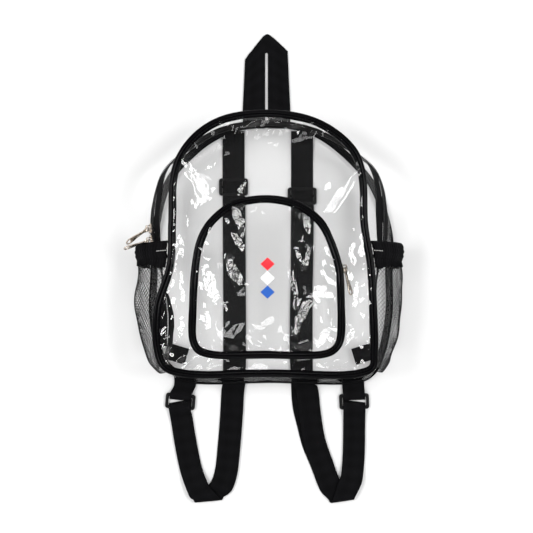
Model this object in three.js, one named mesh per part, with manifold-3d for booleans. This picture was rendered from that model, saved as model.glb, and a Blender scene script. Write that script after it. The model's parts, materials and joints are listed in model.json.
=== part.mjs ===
// A clear arched backpack lying on its back: clear sheet panels with black piping, a long zip round the
// gusset, a piped front pocket, net side pockets, and black webbing straps that spread out below the bag.
// Millimetres. X runs to the right as the front is looked at, Y runs from the bottom of the bag to its hang
// loop, and Z runs from the back, which lies down, to the front.

import * as THREE from 'three';
import { mergeVertices } from 'three/addons/utils/BufferGeometryUtils.js';
import Module from 'manifold-3d';

const wasm = await Module();
wasm.setup();

// Body of the bag, measured over the piping
const frontWidth = 242;
const frontHeight = 287.5;
const backWidth = 280;
const backHeight = 302;
const backDrop = 15;
const backShift = 5;
const bodyDepth = 90;
const crownDip = 5;
const crownSag = 0.09;
const bottomBulge = 0.02;
const foldSkew = 1.6;
const frontDome = 5;
const sheetWall = 1;
const fitGap = 0.35;

// Piping, which is a cord with a folded binding beside it
const pipingWidth = 8.6;
const pipingHeight = 4.6;

// Main zip and the clear strips on either side of it
const frontStripWidth = 22;
const zipTapeWidth = 12.5;
const zipTapeWall = 1;
const zipTeethWidth = 5.6;
const zipTeethHeight = 2.2;
const zipLowEnd = 33;

// Front pocket
const pocketWidth = 164;
const pocketHeight = 172.5;
const pocketBottom = 21.5;
const pocketDepth = 17;
const pocketDome = 3;
const pocketLean = 4;
const pocketPipingWidth = 8.4;
const pocketPipingHeight = 4.2;
const pocketTeethWidth = 4;
const pocketTeethHeight = 1.8;
const toothCrest = 0.9;

// Net side pockets
const netTop = 0.4452 * frontHeight;
const netWall = 1;
const netBulge = 10;
const netBottom = 12;
const hemWidth = 19;
const hemWall = 3;
const hemBulge = 8.5;

// Webbing
const webbingWidth = 25.4;
const webbingWall = 1.5;
const strapLeftX = -38;
const strapRightX = 41;
const strapTop = 275;
const strapExit = -15;
const loopDrop = 136;
const foldWidth = 29.5;
const layerShift = 1;

// Three-bar slides on the straps
const slideWidth = 33.5;
const slideHeight = 20;
const slideBar = 3;
const slideWall = 1.6;
const slideLeftY = 210.5;
const slideRightY = 200;
const slideCorner = 2.6;
const middleBarWidth = 2.6;
const middleBarHeight = 1.3;

// Rings at the lower ends of the straps
const ringWidth = 34.5;
const ringHeight = 18;
const ringBar = 3.6;
const ringWall = 2;
const ringCorner = 3;
const holeCorner = 1;
const ringLeftX = -99.3;
const ringRightX = 101;
const ringY = -36.5;
const ringTilt = 5;
const stubLeftX = -94;
const stubRightX = 100;
const stubTop = -4;

// Webbing patches inside the bottom corners
const patchWidth = 25.4;
const patchHeight = 19;
const patchInsetLeft = 31.5;
const patchInsetRight = 33;
const patchLeftX = backShift - backWidth / 2 + patchInsetLeft;
const patchRightX = backShift + backWidth / 2 - patchInsetRight;
const patchY = 19;
const patchTurn = 17;

// Hang loop, folded to a point
const loopHeight = 103;
const loopSlit = 3.6;
const loopBaseWidth = 55;
const loopShoulderWidth = 49;
const loopPointHeight = 29;
const loopWall = 3;
const loopTuck = 9;

// Sliders and their pulls
const sliderLength = 11;
const sliderWidth = 8.6;
const sliderWall = 2.2;
const bridgeWidth = 2.4;
const bridgeHeight = 4.8;
const bridgeWall = 1.1;
const bridgeLength = 7.2;
const bridgeSink = 1;
const pullLength = 30;
const pullWidth = 9;
const pullEyeWidth = 6.6;
const pullWall = 1.3;
const sliderSpacing = 11.5;
const hemToSlider = 17.5;
const upperSliderY = netTop + hemWidth + hemToSlider;
const upperPullSwing = 58;
const lowerPullSwing = 80;
const pocketSliderY = 120;
const pocketSliderTurn = 34;
const pocketPullSwing = 4;
const pocketPullTwist = 18;

// Heights that follow from the pieces stacked under them
const strapLayer = webbingWall + fitGap;
const backUnderside = slideWall + strapLayer + 2 * fitGap;
const backTop = backUnderside + sheetWall;
const backSeamZ = backUnderside + pipingHeight / 2;
const frontSeamZ = backSeamZ + bodyDepth;
const foldTop = 0.3 * pipingHeight;
const patchZ = backSeamZ + foldTop + 2 * fitGap + webbingWall / 2;

// Steps along the outlines and across the gusset
const stepsPerLevel = 3;
const pocketStepsPerLevel = 2;
const degrees = Math.PI / 180;

// Rows of a table become objects keyed by its column names
function table(columns, rows) {
  return rows.map((row) => Object.fromEntries(columns.map((column, i) => [column, row[i]])));
}

// The two seams, one row for each level from the bottom corners to the arch. up is a share of the panel's
// height, left and right are shares of half its width, and the bulges and folds are shares of the depth of the
// body. The empty bag's gusset folds inwards low on its sides, while the nets sewn over it stand out.
const levels = table(
  [
    'level', 'up', 'frontLeft', 'frontRight', 'backLeft', 'backRight',
    'bulgeLeft', 'bulgeRight', 'foldLeft', 'foldRight',
  ],
  [
    ['base', 0, 0.75, 0.83, 0.66, 0.72, 0.03, 0.03, 0, 0],
    ['corner', 0.03, 0.93, 0.97, 0.81, 0.85, 0.03, 0.03, 0, 0],
    ['low', 0.1, 1, 0.99, 0.93, 0.93, 0.02, 0.02, 0.2, 0.14],
    ['hip', 0.26, 1, 0.98, 1, 1, 0.05, 0.06, 0.34, 0.26],
    ['waist', 0.42, 0.885, 0.955, 0.99, 1, 0.12, 0.07, 0.14, 0.14],
    ['chest', 0.57, 0.87, 0.9, 0.98, 1, 0.13, 0.08, 0, 0],
    ['shoulder', 0.76, 0.85, 0.88, 0.88, 0.86, 0.09, 0.08, 0, 0],
    ['bend', 0.85, 0.768, 0.805, 0.74, 0.7, 0.01, 0, 0, 0],
    ['arch', 0.93, 0.598, 0.61, 0.54, 0.5, -0.05, -0.05, 0, 0],
    ['brow', 0.98, 0.37, 0.36, 0.32, 0.29, -0.08, -0.08, 0, 0],
  ],
);

// The pocket's piping in the same way, as shares of the pocket's height and half width
const pocketLevels = table(
  ['level', 'up', 'left', 'right'],
  [
    ['base', 0.004, 0.74, 0.74],
    ['corner', 0.036, 0.913, 0.9],
    ['low', 0.107, 0.993, 0.996],
    ['hip', 0.36, 0.993, 1.007],
    ['waist', 0.556, 0.965, 0.98],
    ['chest', 0.737, 0.888, 0.86],
    ['bend', 0.857, 0.737, 0.72],
    ['brow', 0.965, 0.433, 0.4],
  ],
);

// Route of each strap below the bag. across runs from the strap's exit, 0, to its ring, 1. down is a share of
// the drop from the exit to the fold, where it turns back on itself.
const routeColumns = ['across', 'down'];
const loopRoutes = {
  left: {
    inner: table(routeColumns, [[0.013, 0.22], [0.054, 0.44], [0.112, 0.66], [0.194, 0.83], [0.3, 0.915]]),
    fold: 0.44,
    outer: table(routeColumns, [[0.61, 0.925], [0.73, 0.83], [0.84, 0.66], [0.923, 0.475], [0.98, 0.315]]),
  },
  right: {
    inner: table(routeColumns, [[0.08, 0.19], [0.15, 0.36], [0.26, 0.55], [0.37, 0.71], [0.49, 0.87]]),
    fold: 0.735,
    outer: table(routeColumns, [[0.91, 0.87], [0.97, 0.75], [1, 0.62], [1.005, 0.48], [1.003, 0.32]]),
  },
};

// Turns a triangle list into a geometry whose faces point outwards
function closedBody(triangles) {
  let volume = 0;
  const across = new THREE.Vector3();
  for (const [a, b, c] of triangles) {
    volume += across.crossVectors(b, c).dot(a);
  }
  const numbers = [];
  for (const [a, b, c] of triangles) {
    const corners = volume > 0 ? [a, b, c] : [a, c, b];
    corners.forEach((corner) => numbers.push(corner.x, corner.y, corner.z));
  }
  const geometry = new THREE.BufferGeometry();
  geometry.setAttribute('position', new THREE.Float32BufferAttribute(numbers, 3));
  geometry.computeVertexNormals();
  return geometry;
}

// A band swept through sections. Each section has an outer and an inner row with as many points.
function band(sections, closed = false) {
  const triangles = [];
  const quad = (a, b, c, d) => triangles.push([a, b, c], [a, c, d]);
  const rings = sections.map(({ outer, inner }) => [...outer, ...[...inner].reverse()]);
  const spans = closed ? rings.length : rings.length - 1;
  for (let i = 0; i < spans; i += 1) {
    const here = rings[i];
    const next = rings[(i + 1) % rings.length];
    here.forEach((point, j) => {
      const k = (j + 1) % here.length;
      quad(point, next[j], next[k], here[k]);
    });
  }
  if (!closed) {
    const cap = ({ outer, inner }, flip) => {
      for (let j = 0; j < outer.length - 1; j += 1) {
        if (flip) quad(outer[j], inner[j], inner[j + 1], outer[j + 1]);
        else quad(outer[j], outer[j + 1], inner[j + 1], inner[j]);
      }
    };
    cap(sections[0], false);
    cap(sections[sections.length - 1], true);
  }
  return closedBody(triangles);
}

// A sheet of even thickness under the surface point(u, v)
function sheet(point, us, vs, wall, closed = false) {
  const nudge = 1e-3;
  const normal = (u, v) => {
    const alongU = point(u + nudge, v).sub(point(u - nudge, v));
    const alongV = point(u, v + nudge).sub(point(u, v - nudge));
    return alongU.cross(alongV).normalize();
  };
  const sections = us.map((u) => ({
    outer: vs.map((v) => point(u, v)),
    inner: vs.map((v) => point(u, v).addScaledVector(normal(u, v), -wall)),
  }));
  return band(sections, closed);
}

// A panel that fills a closed outline in rings round its middle
function panel(outline, middle, heightAt, wall, rings) {
  const triangles = [];
  const place = (edge, share, drop) => {
    const point = new THREE.Vector3().lerpVectors(middle, edge, share);
    point.z = heightAt(point.x, point.y) - drop;
    return point;
  };
  const count = outline.length;
  for (let i = 0; i < count; i += 1) {
    const a = outline[i];
    const b = outline[(i + 1) % count];
    for (let ring = 0; ring < rings; ring += 1) {
      const inside = ring / rings;
      const outside = (ring + 1) / rings;
      for (const drop of [0, wall]) {
        const near = [place(a, inside, drop), place(b, inside, drop)];
        const far = [place(a, outside, drop), place(b, outside, drop)];
        const faces = [[near[0], far[0], far[1]]];
        if (ring > 0) faces.push([near[0], far[1], near[1]]);
        faces.forEach(([p, q, r]) => triangles.push(drop > 0 ? [p, r, q] : [p, q, r]));
      }
    }
    const rim = [place(a, 1, 0), place(a, 1, wall), place(b, 1, wall), place(b, 1, 0)];
    triangles.push([rim[0], rim[1], rim[2]], [rim[0], rim[2], rim[3]]);
  }
  return closedBody(triangles);
}

function range(from, to, count) {
  return Array.from({ length: count + 1 }, (_, i) => from + ((to - from) * i) / count);
}

function mix(a, b, share) {
  return a + (b - a) * share;
}

// Joins and cuts through closed solids
function solid(geometry) {
  const bare = geometry.clone();
  bare.deleteAttribute('normal');
  bare.deleteAttribute('uv');
  const merged = mergeVertices(bare, 1e-4);
  return new wasm.Manifold(new wasm.Mesh({
    numProp: 3,
    vertProperties: merged.attributes.position.array,
    triVerts: new Uint32Array(merged.index.array),
  }));
}

function fromSolid(manifold) {
  const mesh = manifold.getMesh();
  const geometry = new THREE.BufferGeometry();
  geometry.setAttribute('position', new THREE.BufferAttribute(mesh.vertProperties, 3));
  geometry.setIndex(new THREE.BufferAttribute(mesh.triVerts, 1));
  geometry.computeVertexNormals();
  return geometry;
}

// Closed loop through a table's rows: from the middle of the bottom up the left side, over the crown and down
// the right side
function outlineCurve(rows, { halfWidth, height, bottom = 0, shift = 0, leftKey, rightKey }) {
  const at = (share, up) => new THREE.Vector3(shift + share * halfWidth, bottom + up * height, 0);
  const left = rows.map((row) => at(-row[leftKey], row.up));
  const right = rows.map((row) => at(row[rightKey], row.up)).reverse();
  return new THREE.CatmullRomCurve3([at(0, 0), ...left, at(0, 1), ...right], true, 'centripetal');
}

const frontCurve = outlineCurve(levels, {
  halfWidth: frontWidth / 2,
  height: frontHeight,
  leftKey: 'frontLeft',
  rightKey: 'frontRight',
});
const backCurve = outlineCurve(levels, {
  halfWidth: backWidth / 2,
  height: backHeight,
  bottom: -backDrop,
  shift: backShift,
  leftKey: 'backLeft',
  rightKey: 'backRight',
});
const pocketCurve = outlineCurve(pocketLevels, {
  halfWidth: pocketWidth / 2,
  height: pocketHeight,
  bottom: pocketBottom,
  leftKey: 'left',
  rightKey: 'right',
});

function wrap(t) {
  return ((t % 1) + 1) % 1;
}

// Direction that points out of the bag in its own plane
function outward(curve, t) {
  const tangent = curve.getTangent(wrap(t));
  return new THREE.Vector3(-tangent.y, tangent.x, 0).normalize();
}

function inset(curve, t, distance) {
  return curve.getPoint(wrap(t)).addScaledVector(outward(curve, t), -distance);
}

// Height of the front's surface: highest at mid height, with a soft dome inside the piping
function frontHeightAt(x, y) {
  const across = x / (frontWidth / 2);
  const up = (2 * y) / frontHeight - 1;
  const dome = frontDome * Math.max(0, 1 - across * across) * Math.max(0, 1 - up * up);
  return frontSeamZ - crownDip * up * up + dome;
}

function seamHeight(x, y) {
  const up = (2 * y) / frontHeight - 1;
  return frontSeamZ - crownDip * up * up;
}

// The place round the loop where the left or right side of a curve reaches the height y
function reach(curve, y, side) {
  const crown = 0.5;
  let low = side === 'left' ? 0.02 : 0.98;
  let high = crown;
  for (let i = 0; i < 40; i += 1) {
    const middle = (low + high) / 2;
    if (curve.getPoint(middle).y < y) low = middle;
    else high = middle;
  }
  return low;
}

// Value of a pair of columns round the bag, with its values at the middle of the bottom and at the crown
function around(t, leftKey, rightKey, bottom, crown) {
  const rows = [
    bottom,
    ...levels.map((row) => row[leftKey]),
    crown,
    ...levels.map((row) => row[rightKey]).reverse(),
  ];
  const place = wrap(t) * rows.length;
  const row = Math.floor(place);
  return bodyDepth * mix(rows[row % rows.length], rows[(row + 1) % rows.length], place - row);
}

// The gusset's outer face. t runs round the bag, s runs from the front piping, 0, to the back piping, 1.
const ridgeInset = pipingWidth * 0.28;

function gusset(t, s, lift = 0, fold = around(t, 'foldLeft', 'foldRight', 0, 0)) {
  const front = inset(frontCurve, t, ridgeInset);
  front.z = seamHeight(front.x, front.y) - pipingHeight / 2 - fitGap;
  const back = inset(backCurve, t, ridgeInset);
  back.z = backSeamZ + pipingHeight / 2 + fitGap;
  const away = outward(frontCurve, t).add(outward(backCurve, t)).normalize();
  const share = Math.min(1, Math.max(0, s));
  const swell = around(t, 'bulgeLeft', 'bulgeRight', bottomBulge, -crownSag) + lift;
  const stand = swell * Math.sin(Math.PI * share) - fold * Math.sin(Math.PI * share ** foldSkew);
  return front.lerp(back, s).addScaledVector(away, stand);
}

// The same surface with the way across it measured in millimetres from the front piping
function gussetAt(t, distance) {
  const steps = 48;
  let before = gusset(t, 0);
  let gone = 0;
  for (let i = 1; i <= steps; i += 1) {
    const next = gusset(t, i / steps);
    const step = next.distanceTo(before);
    if (gone + step >= distance || i === steps) {
      return gusset(t, (i - 1 + (distance - gone) / step) / steps);
    }
    gone += step;
    before = next;
  }
  return before;
}

function gussetNormal(t, distance) {
  const alongT = gussetAt(t + 1e-3, distance).sub(gussetAt(t - 1e-3, distance));
  const alongS = gussetAt(t, distance + 0.5).sub(gussetAt(t, distance - 0.5));
  return alongT.cross(alongS).normalize();
}

const loopSteps = (2 * levels.length + 2) * stepsPerLevel;
const pocketSteps = (2 * pocketLevels.length + 2) * pocketStepsPerLevel;
const zipStart = reach(frontCurve, zipLowEnd, 'left');
const zipEnd = reach(frontCurve, zipLowEnd, 'right');
const zipSteps = Math.round((zipEnd - zipStart) * loopSteps);
const zipStations = range(zipStart, zipEnd, zipSteps);
const gussetEndGap = (2 * fitGap) / frontCurve.getLength();
const pocketEndGap = (2 * fitGap) / pocketCurve.getLength();

// Piping: a ridge at the outer side and a lower fold at the inner side, round the whole seam
function piping(curve, steps, width, height, heightAt) {
  const sections = range(0, 1, steps).slice(0, -1).map((t) => {
    const row = (columns) => columns.map(([share, rise]) => {
      const point = inset(curve, t, share * width);
      point.z = heightAt(point.x, point.y) + rise * height;
      return point;
    });
    return {
      outer: row([[0, 0.1], [0.27, 0.48], [0.56, 0.22], [1, 0.3]]),
      inner: row([[0, -0.1], [0.27, -0.48], [0.56, -0.42], [1, -0.3]]),
    };
  });
  return band(sections, true);
}

// Straight-sided strip of webbing through stations with a centre and a half width across it
function ribbon(stations, wall) {
  const sections = stations.map(({ centre, half }, i) => {
    const before = stations[Math.max(0, i - 1)].centre;
    const after = stations[Math.min(stations.length - 1, i + 1)].centre;
    const along = after.clone().sub(before).normalize();
    const up = along.clone().cross(half).normalize().multiplyScalar(wall / 2);
    const edges = [-1, 1].map((side) => centre.clone().addScaledVector(half, side));
    return {
      outer: edges.map((edge) => edge.clone().add(up)),
      inner: edges.map((edge) => edge.clone().sub(up)),
    };
  });
  return band(sections);
}

function extrude(shape, depth, curveSegments = 6) {
  return new THREE.ExtrudeGeometry(shape, { depth, bevelEnabled: false, curveSegments });
}

function roundedRectangle(width, height, radius, target = new THREE.Shape()) {
  const x = width / 2;
  const y = height / 2;
  target.moveTo(-x + radius, -y);
  target.lineTo(x - radius, -y);
  target.absarc(x - radius, -y + radius, radius, -Math.PI / 2, 0);
  target.lineTo(x, y - radius);
  target.absarc(x - radius, y - radius, radius, 0, Math.PI / 2);
  target.lineTo(-x + radius, y);
  target.absarc(-x + radius, y - radius, radius, Math.PI / 2, Math.PI);
  target.lineTo(-x, -y + radius);
  target.absarc(-x + radius, -y + radius, radius, Math.PI, 1.5 * Math.PI);
  return target;
}

// Body panels

function frontPanel() {
  const outline = range(0, 1, loopSteps).slice(0, -1).map((t) => inset(frontCurve, t, pipingWidth + fitGap));
  const middle = new THREE.Vector3(0, frontHeight * 0.45, 0);
  return panel(outline, middle, frontHeightAt, sheetWall, 3);
}

function backPanel() {
  const outline = range(0, 1, loopSteps).slice(0, -1).map((t) => inset(backCurve, t, pipingWidth + fitGap));
  const middle = new THREE.Vector3(backShift, backHeight * 0.45 - backDrop, 0);
  return panel(outline, middle, () => backTop, sheetWall, 1);
}

// Strips of the gusset between two distances from the front piping
function gussetBand(from, to, count, wall, stations = zipStations) {
  return sheet(gussetAt, stations, range(from, to, count), wall);
}

function gussetLength(t) {
  return range(0, 1, 48).reduce((sum, s, i, all) => (
    i === 0 ? 0 : sum + gusset(t, s).distanceTo(gusset(t, all[i - 1]))
  ), 0);
}

const tapeStart = frontStripWidth + fitGap;
const teethStart = tapeStart + zipTapeWidth + fitGap;
const tapeTwoStart = teethStart + zipTeethWidth + fitGap;
const zipBottom = tapeTwoStart + zipTapeWidth;

function rearStrip() {
  const strip = (t, share) => gussetAt(t, mix(zipBottom + fitGap, gussetLength(t), share));
  return sheet(strip, zipStations, range(0, 1, 2), sheetWall);
}

function bottomGusset() {
  const end = zipEnd + gussetEndGap;
  const start = zipStart + 1 - gussetEndGap;
  return sheet(gusset, range(end, start, 24), range(0, 1, 5), sheetWall);
}

// Rows of zip teeth drawn as one low ridge over the gap between the tapes
function zipTeeth(stations, pointAt, normalAt, from, width, height) {
  const sections = stations.map((t) => {
    const row = (columns) => columns.map(([share, rise]) => (
      pointAt(t, from + share * width).addScaledVector(normalAt(t, from + share * width), rise * height)
    ));
    return {
      outer: row([[0, 0.1], [0.5, toothCrest], [1, 0.1]]),
      inner: row([[0, -0.4], [0.5, -0.4], [1, -0.4]]),
    };
  });
  return band(sections);
}

// Front pocket: the wall runs from under the pocket's piping to the front panel

function pocketHeightAt(x, y) {
  const across = x / (pocketWidth / 2);
  const up = (2 * (y - pocketBottom)) / pocketHeight - 1;
  const dome = pocketDome * Math.max(0, 1 - across * across) * Math.max(0, 1 - up * up);
  return frontHeightAt(x, y) + pocketDepth + dome;
}

function pocketSeamHeight(x, y) {
  return frontHeightAt(x, y) + pocketDepth;
}

function pocketWall(t, s) {
  const seam = inset(pocketCurve, t, pocketPipingWidth * 0.3);
  const foot = seam.clone();
  const leanShare = Math.max(0, Math.sin(Math.PI * (wrap(t) - 0.25)));
  foot.addScaledVector(outward(pocketCurve, t), -pocketLean * leanShare);
  seam.z = pocketSeamHeight(seam.x, seam.y) - pocketPipingHeight / 2 - fitGap;
  foot.z = frontHeightAt(foot.x, foot.y) + fitGap;
  return seam.lerp(foot, s);
}

const pocketZipStart = reach(pocketCurve, pocketBottom + 0.12 * pocketHeight, 'left');
const pocketZipEnd = reach(pocketCurve, pocketBottom + 0.12 * pocketHeight, 'right');
const pocketZipSteps = Math.round((pocketZipEnd - pocketZipStart) * pocketSteps);
const pocketStations = range(pocketZipStart, pocketZipEnd, pocketZipSteps);

function pocketWallNormal(t, s) {
  const alongT = pocketWall(t + 1e-3, s).sub(pocketWall(t - 1e-3, s));
  const alongS = pocketWall(t, s + 0.05).sub(pocketWall(t, s - 0.05));
  return alongT.cross(alongS).normalize();
}

const pocketWallHeight = pocketDepth - pocketPipingHeight / 2 - 2 * fitGap;
const teethShare = pocketTeethWidth / pocketWallHeight;
const gapShare = fitGap / pocketWallHeight;
const pocketTeethStart = 0.5 - teethShare / 2;

function pocketPanel() {
  const edge = pocketPipingWidth + fitGap;
  const outline = range(0, 1, pocketSteps).slice(0, -1).map((t) => inset(pocketCurve, t, edge));
  const middle = new THREE.Vector3(0, pocketBottom + pocketHeight * 0.45, 0);
  return panel(outline, middle, pocketHeightAt, sheetWall, 2);
}

function pocketPipingBand() {
  return piping(pocketCurve, pocketSteps, pocketPipingWidth, pocketPipingHeight, pocketSeamHeight);
}

// Net pocket: stands off the gusset by its bulge, sewn down at its bottom and both seams, open at the top
function netSurface(side) {
  const top = reach(frontCurve, netTop, side);
  const bottom = reach(frontCurve, netBottom, side);
  const hemTop = reach(frontCurve, netTop + hemWidth, side);
  const standOff = zipTeethHeight + 2 * fitGap;
  const point = (share, s) => {
    const t = mix(bottom, top, share);
    const fullness = Math.sin(Math.PI * (0.02 + 0.58 * share)) ** 0.6;
    const lift = mix(netBulge * fullness, hemBulge, Math.max(0, share - 0.85) / 0.15 * 0.8);
    const away = outward(frontCurve, t).add(outward(backCurve, t)).normalize();
    const clear = standOff * Math.sin(Math.PI * s) + sheetWall * 0.5 + fitGap;
    return gusset(t, s, lift, 0).addScaledVector(away, clear + netWall);
  };
  return { point, top, hemTop, standOff };
}

function netPocket(side) {
  const { point } = netSurface(side);
  return sheet(point, range(0, 1, 9), range(0.02, 0.98, 8), side === 'left' ? netWall : -netWall);
}

function netHem(side) {
  const { top, hemTop, standOff } = netSurface(side);
  const start = top + (hemTop - top) * 0.03;
  const point = (share, s) => {
    const t = mix(start, hemTop, share);
    const away = outward(frontCurve, t).add(outward(backCurve, t)).normalize();
    const clear = standOff * Math.sin(Math.PI * s) + sheetWall * 0.5 + fitGap + hemWall;
    const round = Math.sin(Math.PI * share);
    return gusset(t, s, hemBulge, 0).addScaledVector(away, clear + 0.6 * round);
  };
  return sheet(point, range(0, 1, 4), range(0.02, 0.98, 10), side === 'left' ? hemWall : -hemWall);
}

// One shoulder strap: down from the top of the back, over the slide's middle bar, out below the bag, round
// the fold and the ring's bar, and back up on itself to the slide's lower bar
const restZ = webbingWall / 2;
const slideRise = middleBarHeight + 0.1 + fitGap;

function ringFrame(side) {
  const left = side === 'left';
  const turn = (left ? -ringTilt : ringTilt * 0.4) * degrees;
  const across = new THREE.Vector3(Math.cos(turn), Math.sin(turn), 0);
  const down = new THREE.Vector3(Math.sin(turn), -Math.cos(turn), 0);
  const middle = new THREE.Vector3(left ? ringLeftX : ringRightX, ringY, 0);
  return { across, down, middle, turn };
}

// Webbing that turns back round a bar: out under or over it, round its inner edge and away on the other side
function turnRoundBar(frame, direction, overFirst) {
  const barInner = ringHeight / 2 - ringBar;
  const lowZ = restZ;
  const highZ = webbingWall + ringWall + 2 * fitGap + webbingWall / 2;
  const middleZ = (lowZ + highZ) / 2;
  const radius = (highZ - lowZ) / 2;
  const arc = range(-90, 90, 4).map((angle) => ({
    reachIn: barInner - fitGap - Math.cos(angle * degrees) * (radius - 0.3),
    z: middleZ + Math.sin(angle * degrees) * radius,
  }));
  const away = barInner + ringBar;
  const points = [{ reachIn: away, z: lowZ }, ...arc, { reachIn: away, z: highZ }];
  const ordered = overFirst ? points.reverse() : points;
  return ordered.map(({ reachIn, z }) => {
    const centre = frame.middle.clone().addScaledVector(direction, reachIn);
    centre.z = z;
    return { centre, half: frame.across.clone().multiplyScalar(webbingWidth / 2) };
  });
}

function shoulderStrap(side) {
  const left = side === 'left';
  const strapX = left ? strapLeftX : strapRightX;
  const slideY = left ? slideLeftY : slideRightY;
  const route = loopRoutes[side];
  const frame = ringFrame(side);
  const square = new THREE.Vector3(webbingWidth / 2, 0, 0);
  const station = (x, y, z, half = square) => ({ centre: new THREE.Vector3(x, y, z), half: half.clone() });
  const sewnZ = backUnderside - fitGap - webbingWall / 2;
  const overBar = restZ + slideRise;
  const slotReach = slideHeight / 2 - slideBar;

  const down = [
    station(strapX, strapTop, sewnZ),
    station(strapX, strapTop - 12, sewnZ),
    station(strapX, strapTop - 30, restZ),
    station(strapX, slideY + slideHeight / 2, restZ),
    station(strapX, slideY + slotReach - 1, restZ),
    station(strapX, slideY + 1.6, overBar),
    station(strapX, slideY - 1.6, overBar),
    station(strapX, slideY - slotReach + 1, restZ),
    station(strapX, slideY - slideHeight / 2, restZ),
    station(strapX, strapExit, restZ),
  ];

  // Plan of the loop on the floor, with the heights of its two layers added below
  const xAt = (across) => mix(strapX, frame.middle.x, across);
  const yAt = (share) => strapExit - loopDrop * share;
  const innerPlan = route.inner.map((row) => new THREE.Vector2(xAt(row.across), yAt(row.down)));
  const outerPlan = route.outer.map((row) => new THREE.Vector2(xAt(row.across), yAt(row.down)));
  const foldPoint = new THREE.Vector2(xAt(route.fold), yAt(1));
  const foldLine = new THREE.Vector3(1, 0.06, 0).normalize().multiplyScalar(foldWidth / 2);
  const barApproach = frame.middle.clone().addScaledVector(frame.down, ringHeight / 2 + 12);

  const squareTo = (before, after) => {
    const heading = new THREE.Vector2().subVectors(after, before).normalize();
    const half = new THREE.Vector3(-heading.y, heading.x, 0).multiplyScalar(webbingWidth / 2);
    return half.x < 0 ? half.negate() : half;
  };
  const limb = (plan, heights, start, end) => plan.map((point, i) => {
    const before = plan[i - 1] ?? start;
    const after = plan[i + 1] ?? end;
    return { centre: new THREE.Vector3(point.x, point.y, heights[i]), half: squareTo(before, after) };
  });
  const foldStations = (lowZ, highZ) => {
    const radius = (highZ - lowZ) / 2;
    return range(-90, 90, 4).map((angle) => ({
      centre: new THREE.Vector3(
        foldPoint.x,
        foldPoint.y - Math.cos(angle * degrees) * radius,
        (lowZ + highZ) / 2 + Math.sin(angle * degrees) * radius,
      ),
      half: foldLine.clone(),
    }));
  };

  const exit = new THREE.Vector2(strapX, strapExit);
  const ringSide = new THREE.Vector2(barApproach.x, barApproach.y);
  const low = restZ;
  const second = low + strapLayer;
  const third = second + strapLayer;
  const top = third + strapLayer;
  const firstInner = limb(innerPlan, innerPlan.map(() => low), exit, foldPoint);
  const firstOuter = limb(outerPlan, [top, top, second, second, second], foldPoint, ringSide);
  const lastOuter = limb(outerPlan, [third, third, low, low, low], foldPoint, ringSide).reverse();
  const lastInner = limb(innerPlan, innerPlan.map(() => second), exit, foldPoint).reverse();
  const roundRing = turnRoundBar(frame, frame.down, true);

  const shift = new THREE.Vector3(layerShift, 0, 0);
  const up = [
    station(strapX, strapExit, second),
    station(strapX, slideY - slideHeight / 2 - fitGap, second),
  ];
  const returning = [...lastInner, ...up].map(({ centre, half }) => ({
    centre: centre.clone().add(shift),
    half,
  }));
  return ribbon([
    ...down,
    ...firstInner,
    ...foldStations(low, top),
    ...firstOuter,
    ...roundRing,
    ...lastOuter,
    ...foldStations(second, third).reverse(),
    ...returning,
  ], webbingWall);
}

// Short webbing from the bottom corner, round the ring's upper bar and back
function strapStub(side) {
  const left = side === 'left';
  const frame = ringFrame(side);
  const upward = frame.down.clone().negate();
  const x = left ? stubLeftX : stubRightX;
  const half = new THREE.Vector3(webbingWidth / 2, 0, 0);
  const top = (z) => ({ centre: new THREE.Vector3(x, stubTop, z), half: half.clone() });
  const edge = (z) => ({ centre: new THREE.Vector3(x, -backDrop - 3, z), half: half.clone() });
  const high = restZ + strapLayer;
  return ribbon([
    top(restZ), edge(restZ),
    ...turnRoundBar(frame, upward, false),
    edge(high), top(high),
  ], webbingWall);
}

// Moulded ring, rounded at its corners
function strapRing(side) {
  const shape = roundedRectangle(ringWidth, ringHeight, ringCorner);
  const holeWidth = ringWidth - 2 * ringBar;
  const holeHeight = ringHeight - 2 * ringBar;
  shape.holes.push(roundedRectangle(holeWidth, holeHeight, holeCorner, new THREE.Path()));
  const geometry = extrude(shape, ringWall, 2);
  const frame = ringFrame(side);
  geometry.rotateZ(frame.turn);
  geometry.translate(frame.middle.x, frame.middle.y, webbingWall + fitGap);
  return geometry;
}

// Three-bar slide: a raised frame, cheeks down to the floor beside the webbing, and a low middle bar under
// the webbing
function strapAdjuster(side) {
  const left = side === 'left';
  const cheek = (slideWidth - webbingWidth) / 2 - fitGap;
  const frameZ = webbingWall + fitGap;
  const shape = roundedRectangle(slideWidth, slideHeight, slideCorner);
  const holeWidth = slideWidth - 2 * cheek;
  const holeHeight = slideHeight - 2 * slideBar;
  shape.holes.push(roundedRectangle(holeWidth, holeHeight, holeCorner, new THREE.Path()));
  const frame = extrude(shape, slideWall, 2).translate(0, 0, frameZ);
  const cheekTop = frameZ + slideWall / 2;
  const boxes = [-1, 1].map((hand) => (
    new THREE.BoxGeometry(cheek, holeHeight, cheekTop)
      .translate(hand * (slideWidth - cheek) / 2, 0, cheekTop / 2)
  ));
  const bar = new THREE.BoxGeometry(slideWidth - cheek, middleBarWidth, middleBarHeight)
    .translate(0, 0, middleBarHeight / 2);
  const joined = [...boxes, bar].reduce((body, piece) => body.add(solid(piece)), solid(frame));
  const geometry = fromSolid(joined);
  geometry.translate(left ? strapLeftX : strapRightX, left ? slideLeftY : slideRightY, 0);
  return geometry;
}

function cornerAnchor(side) {
  const left = side === 'left';
  const geometry = new THREE.BoxGeometry(patchWidth, patchHeight, webbingWall);
  geometry.rotateZ((left ? -patchTurn : patchTurn) * degrees);
  geometry.translate(left ? patchLeftX : patchRightX, patchY, patchZ);
  return geometry;
}

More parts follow.
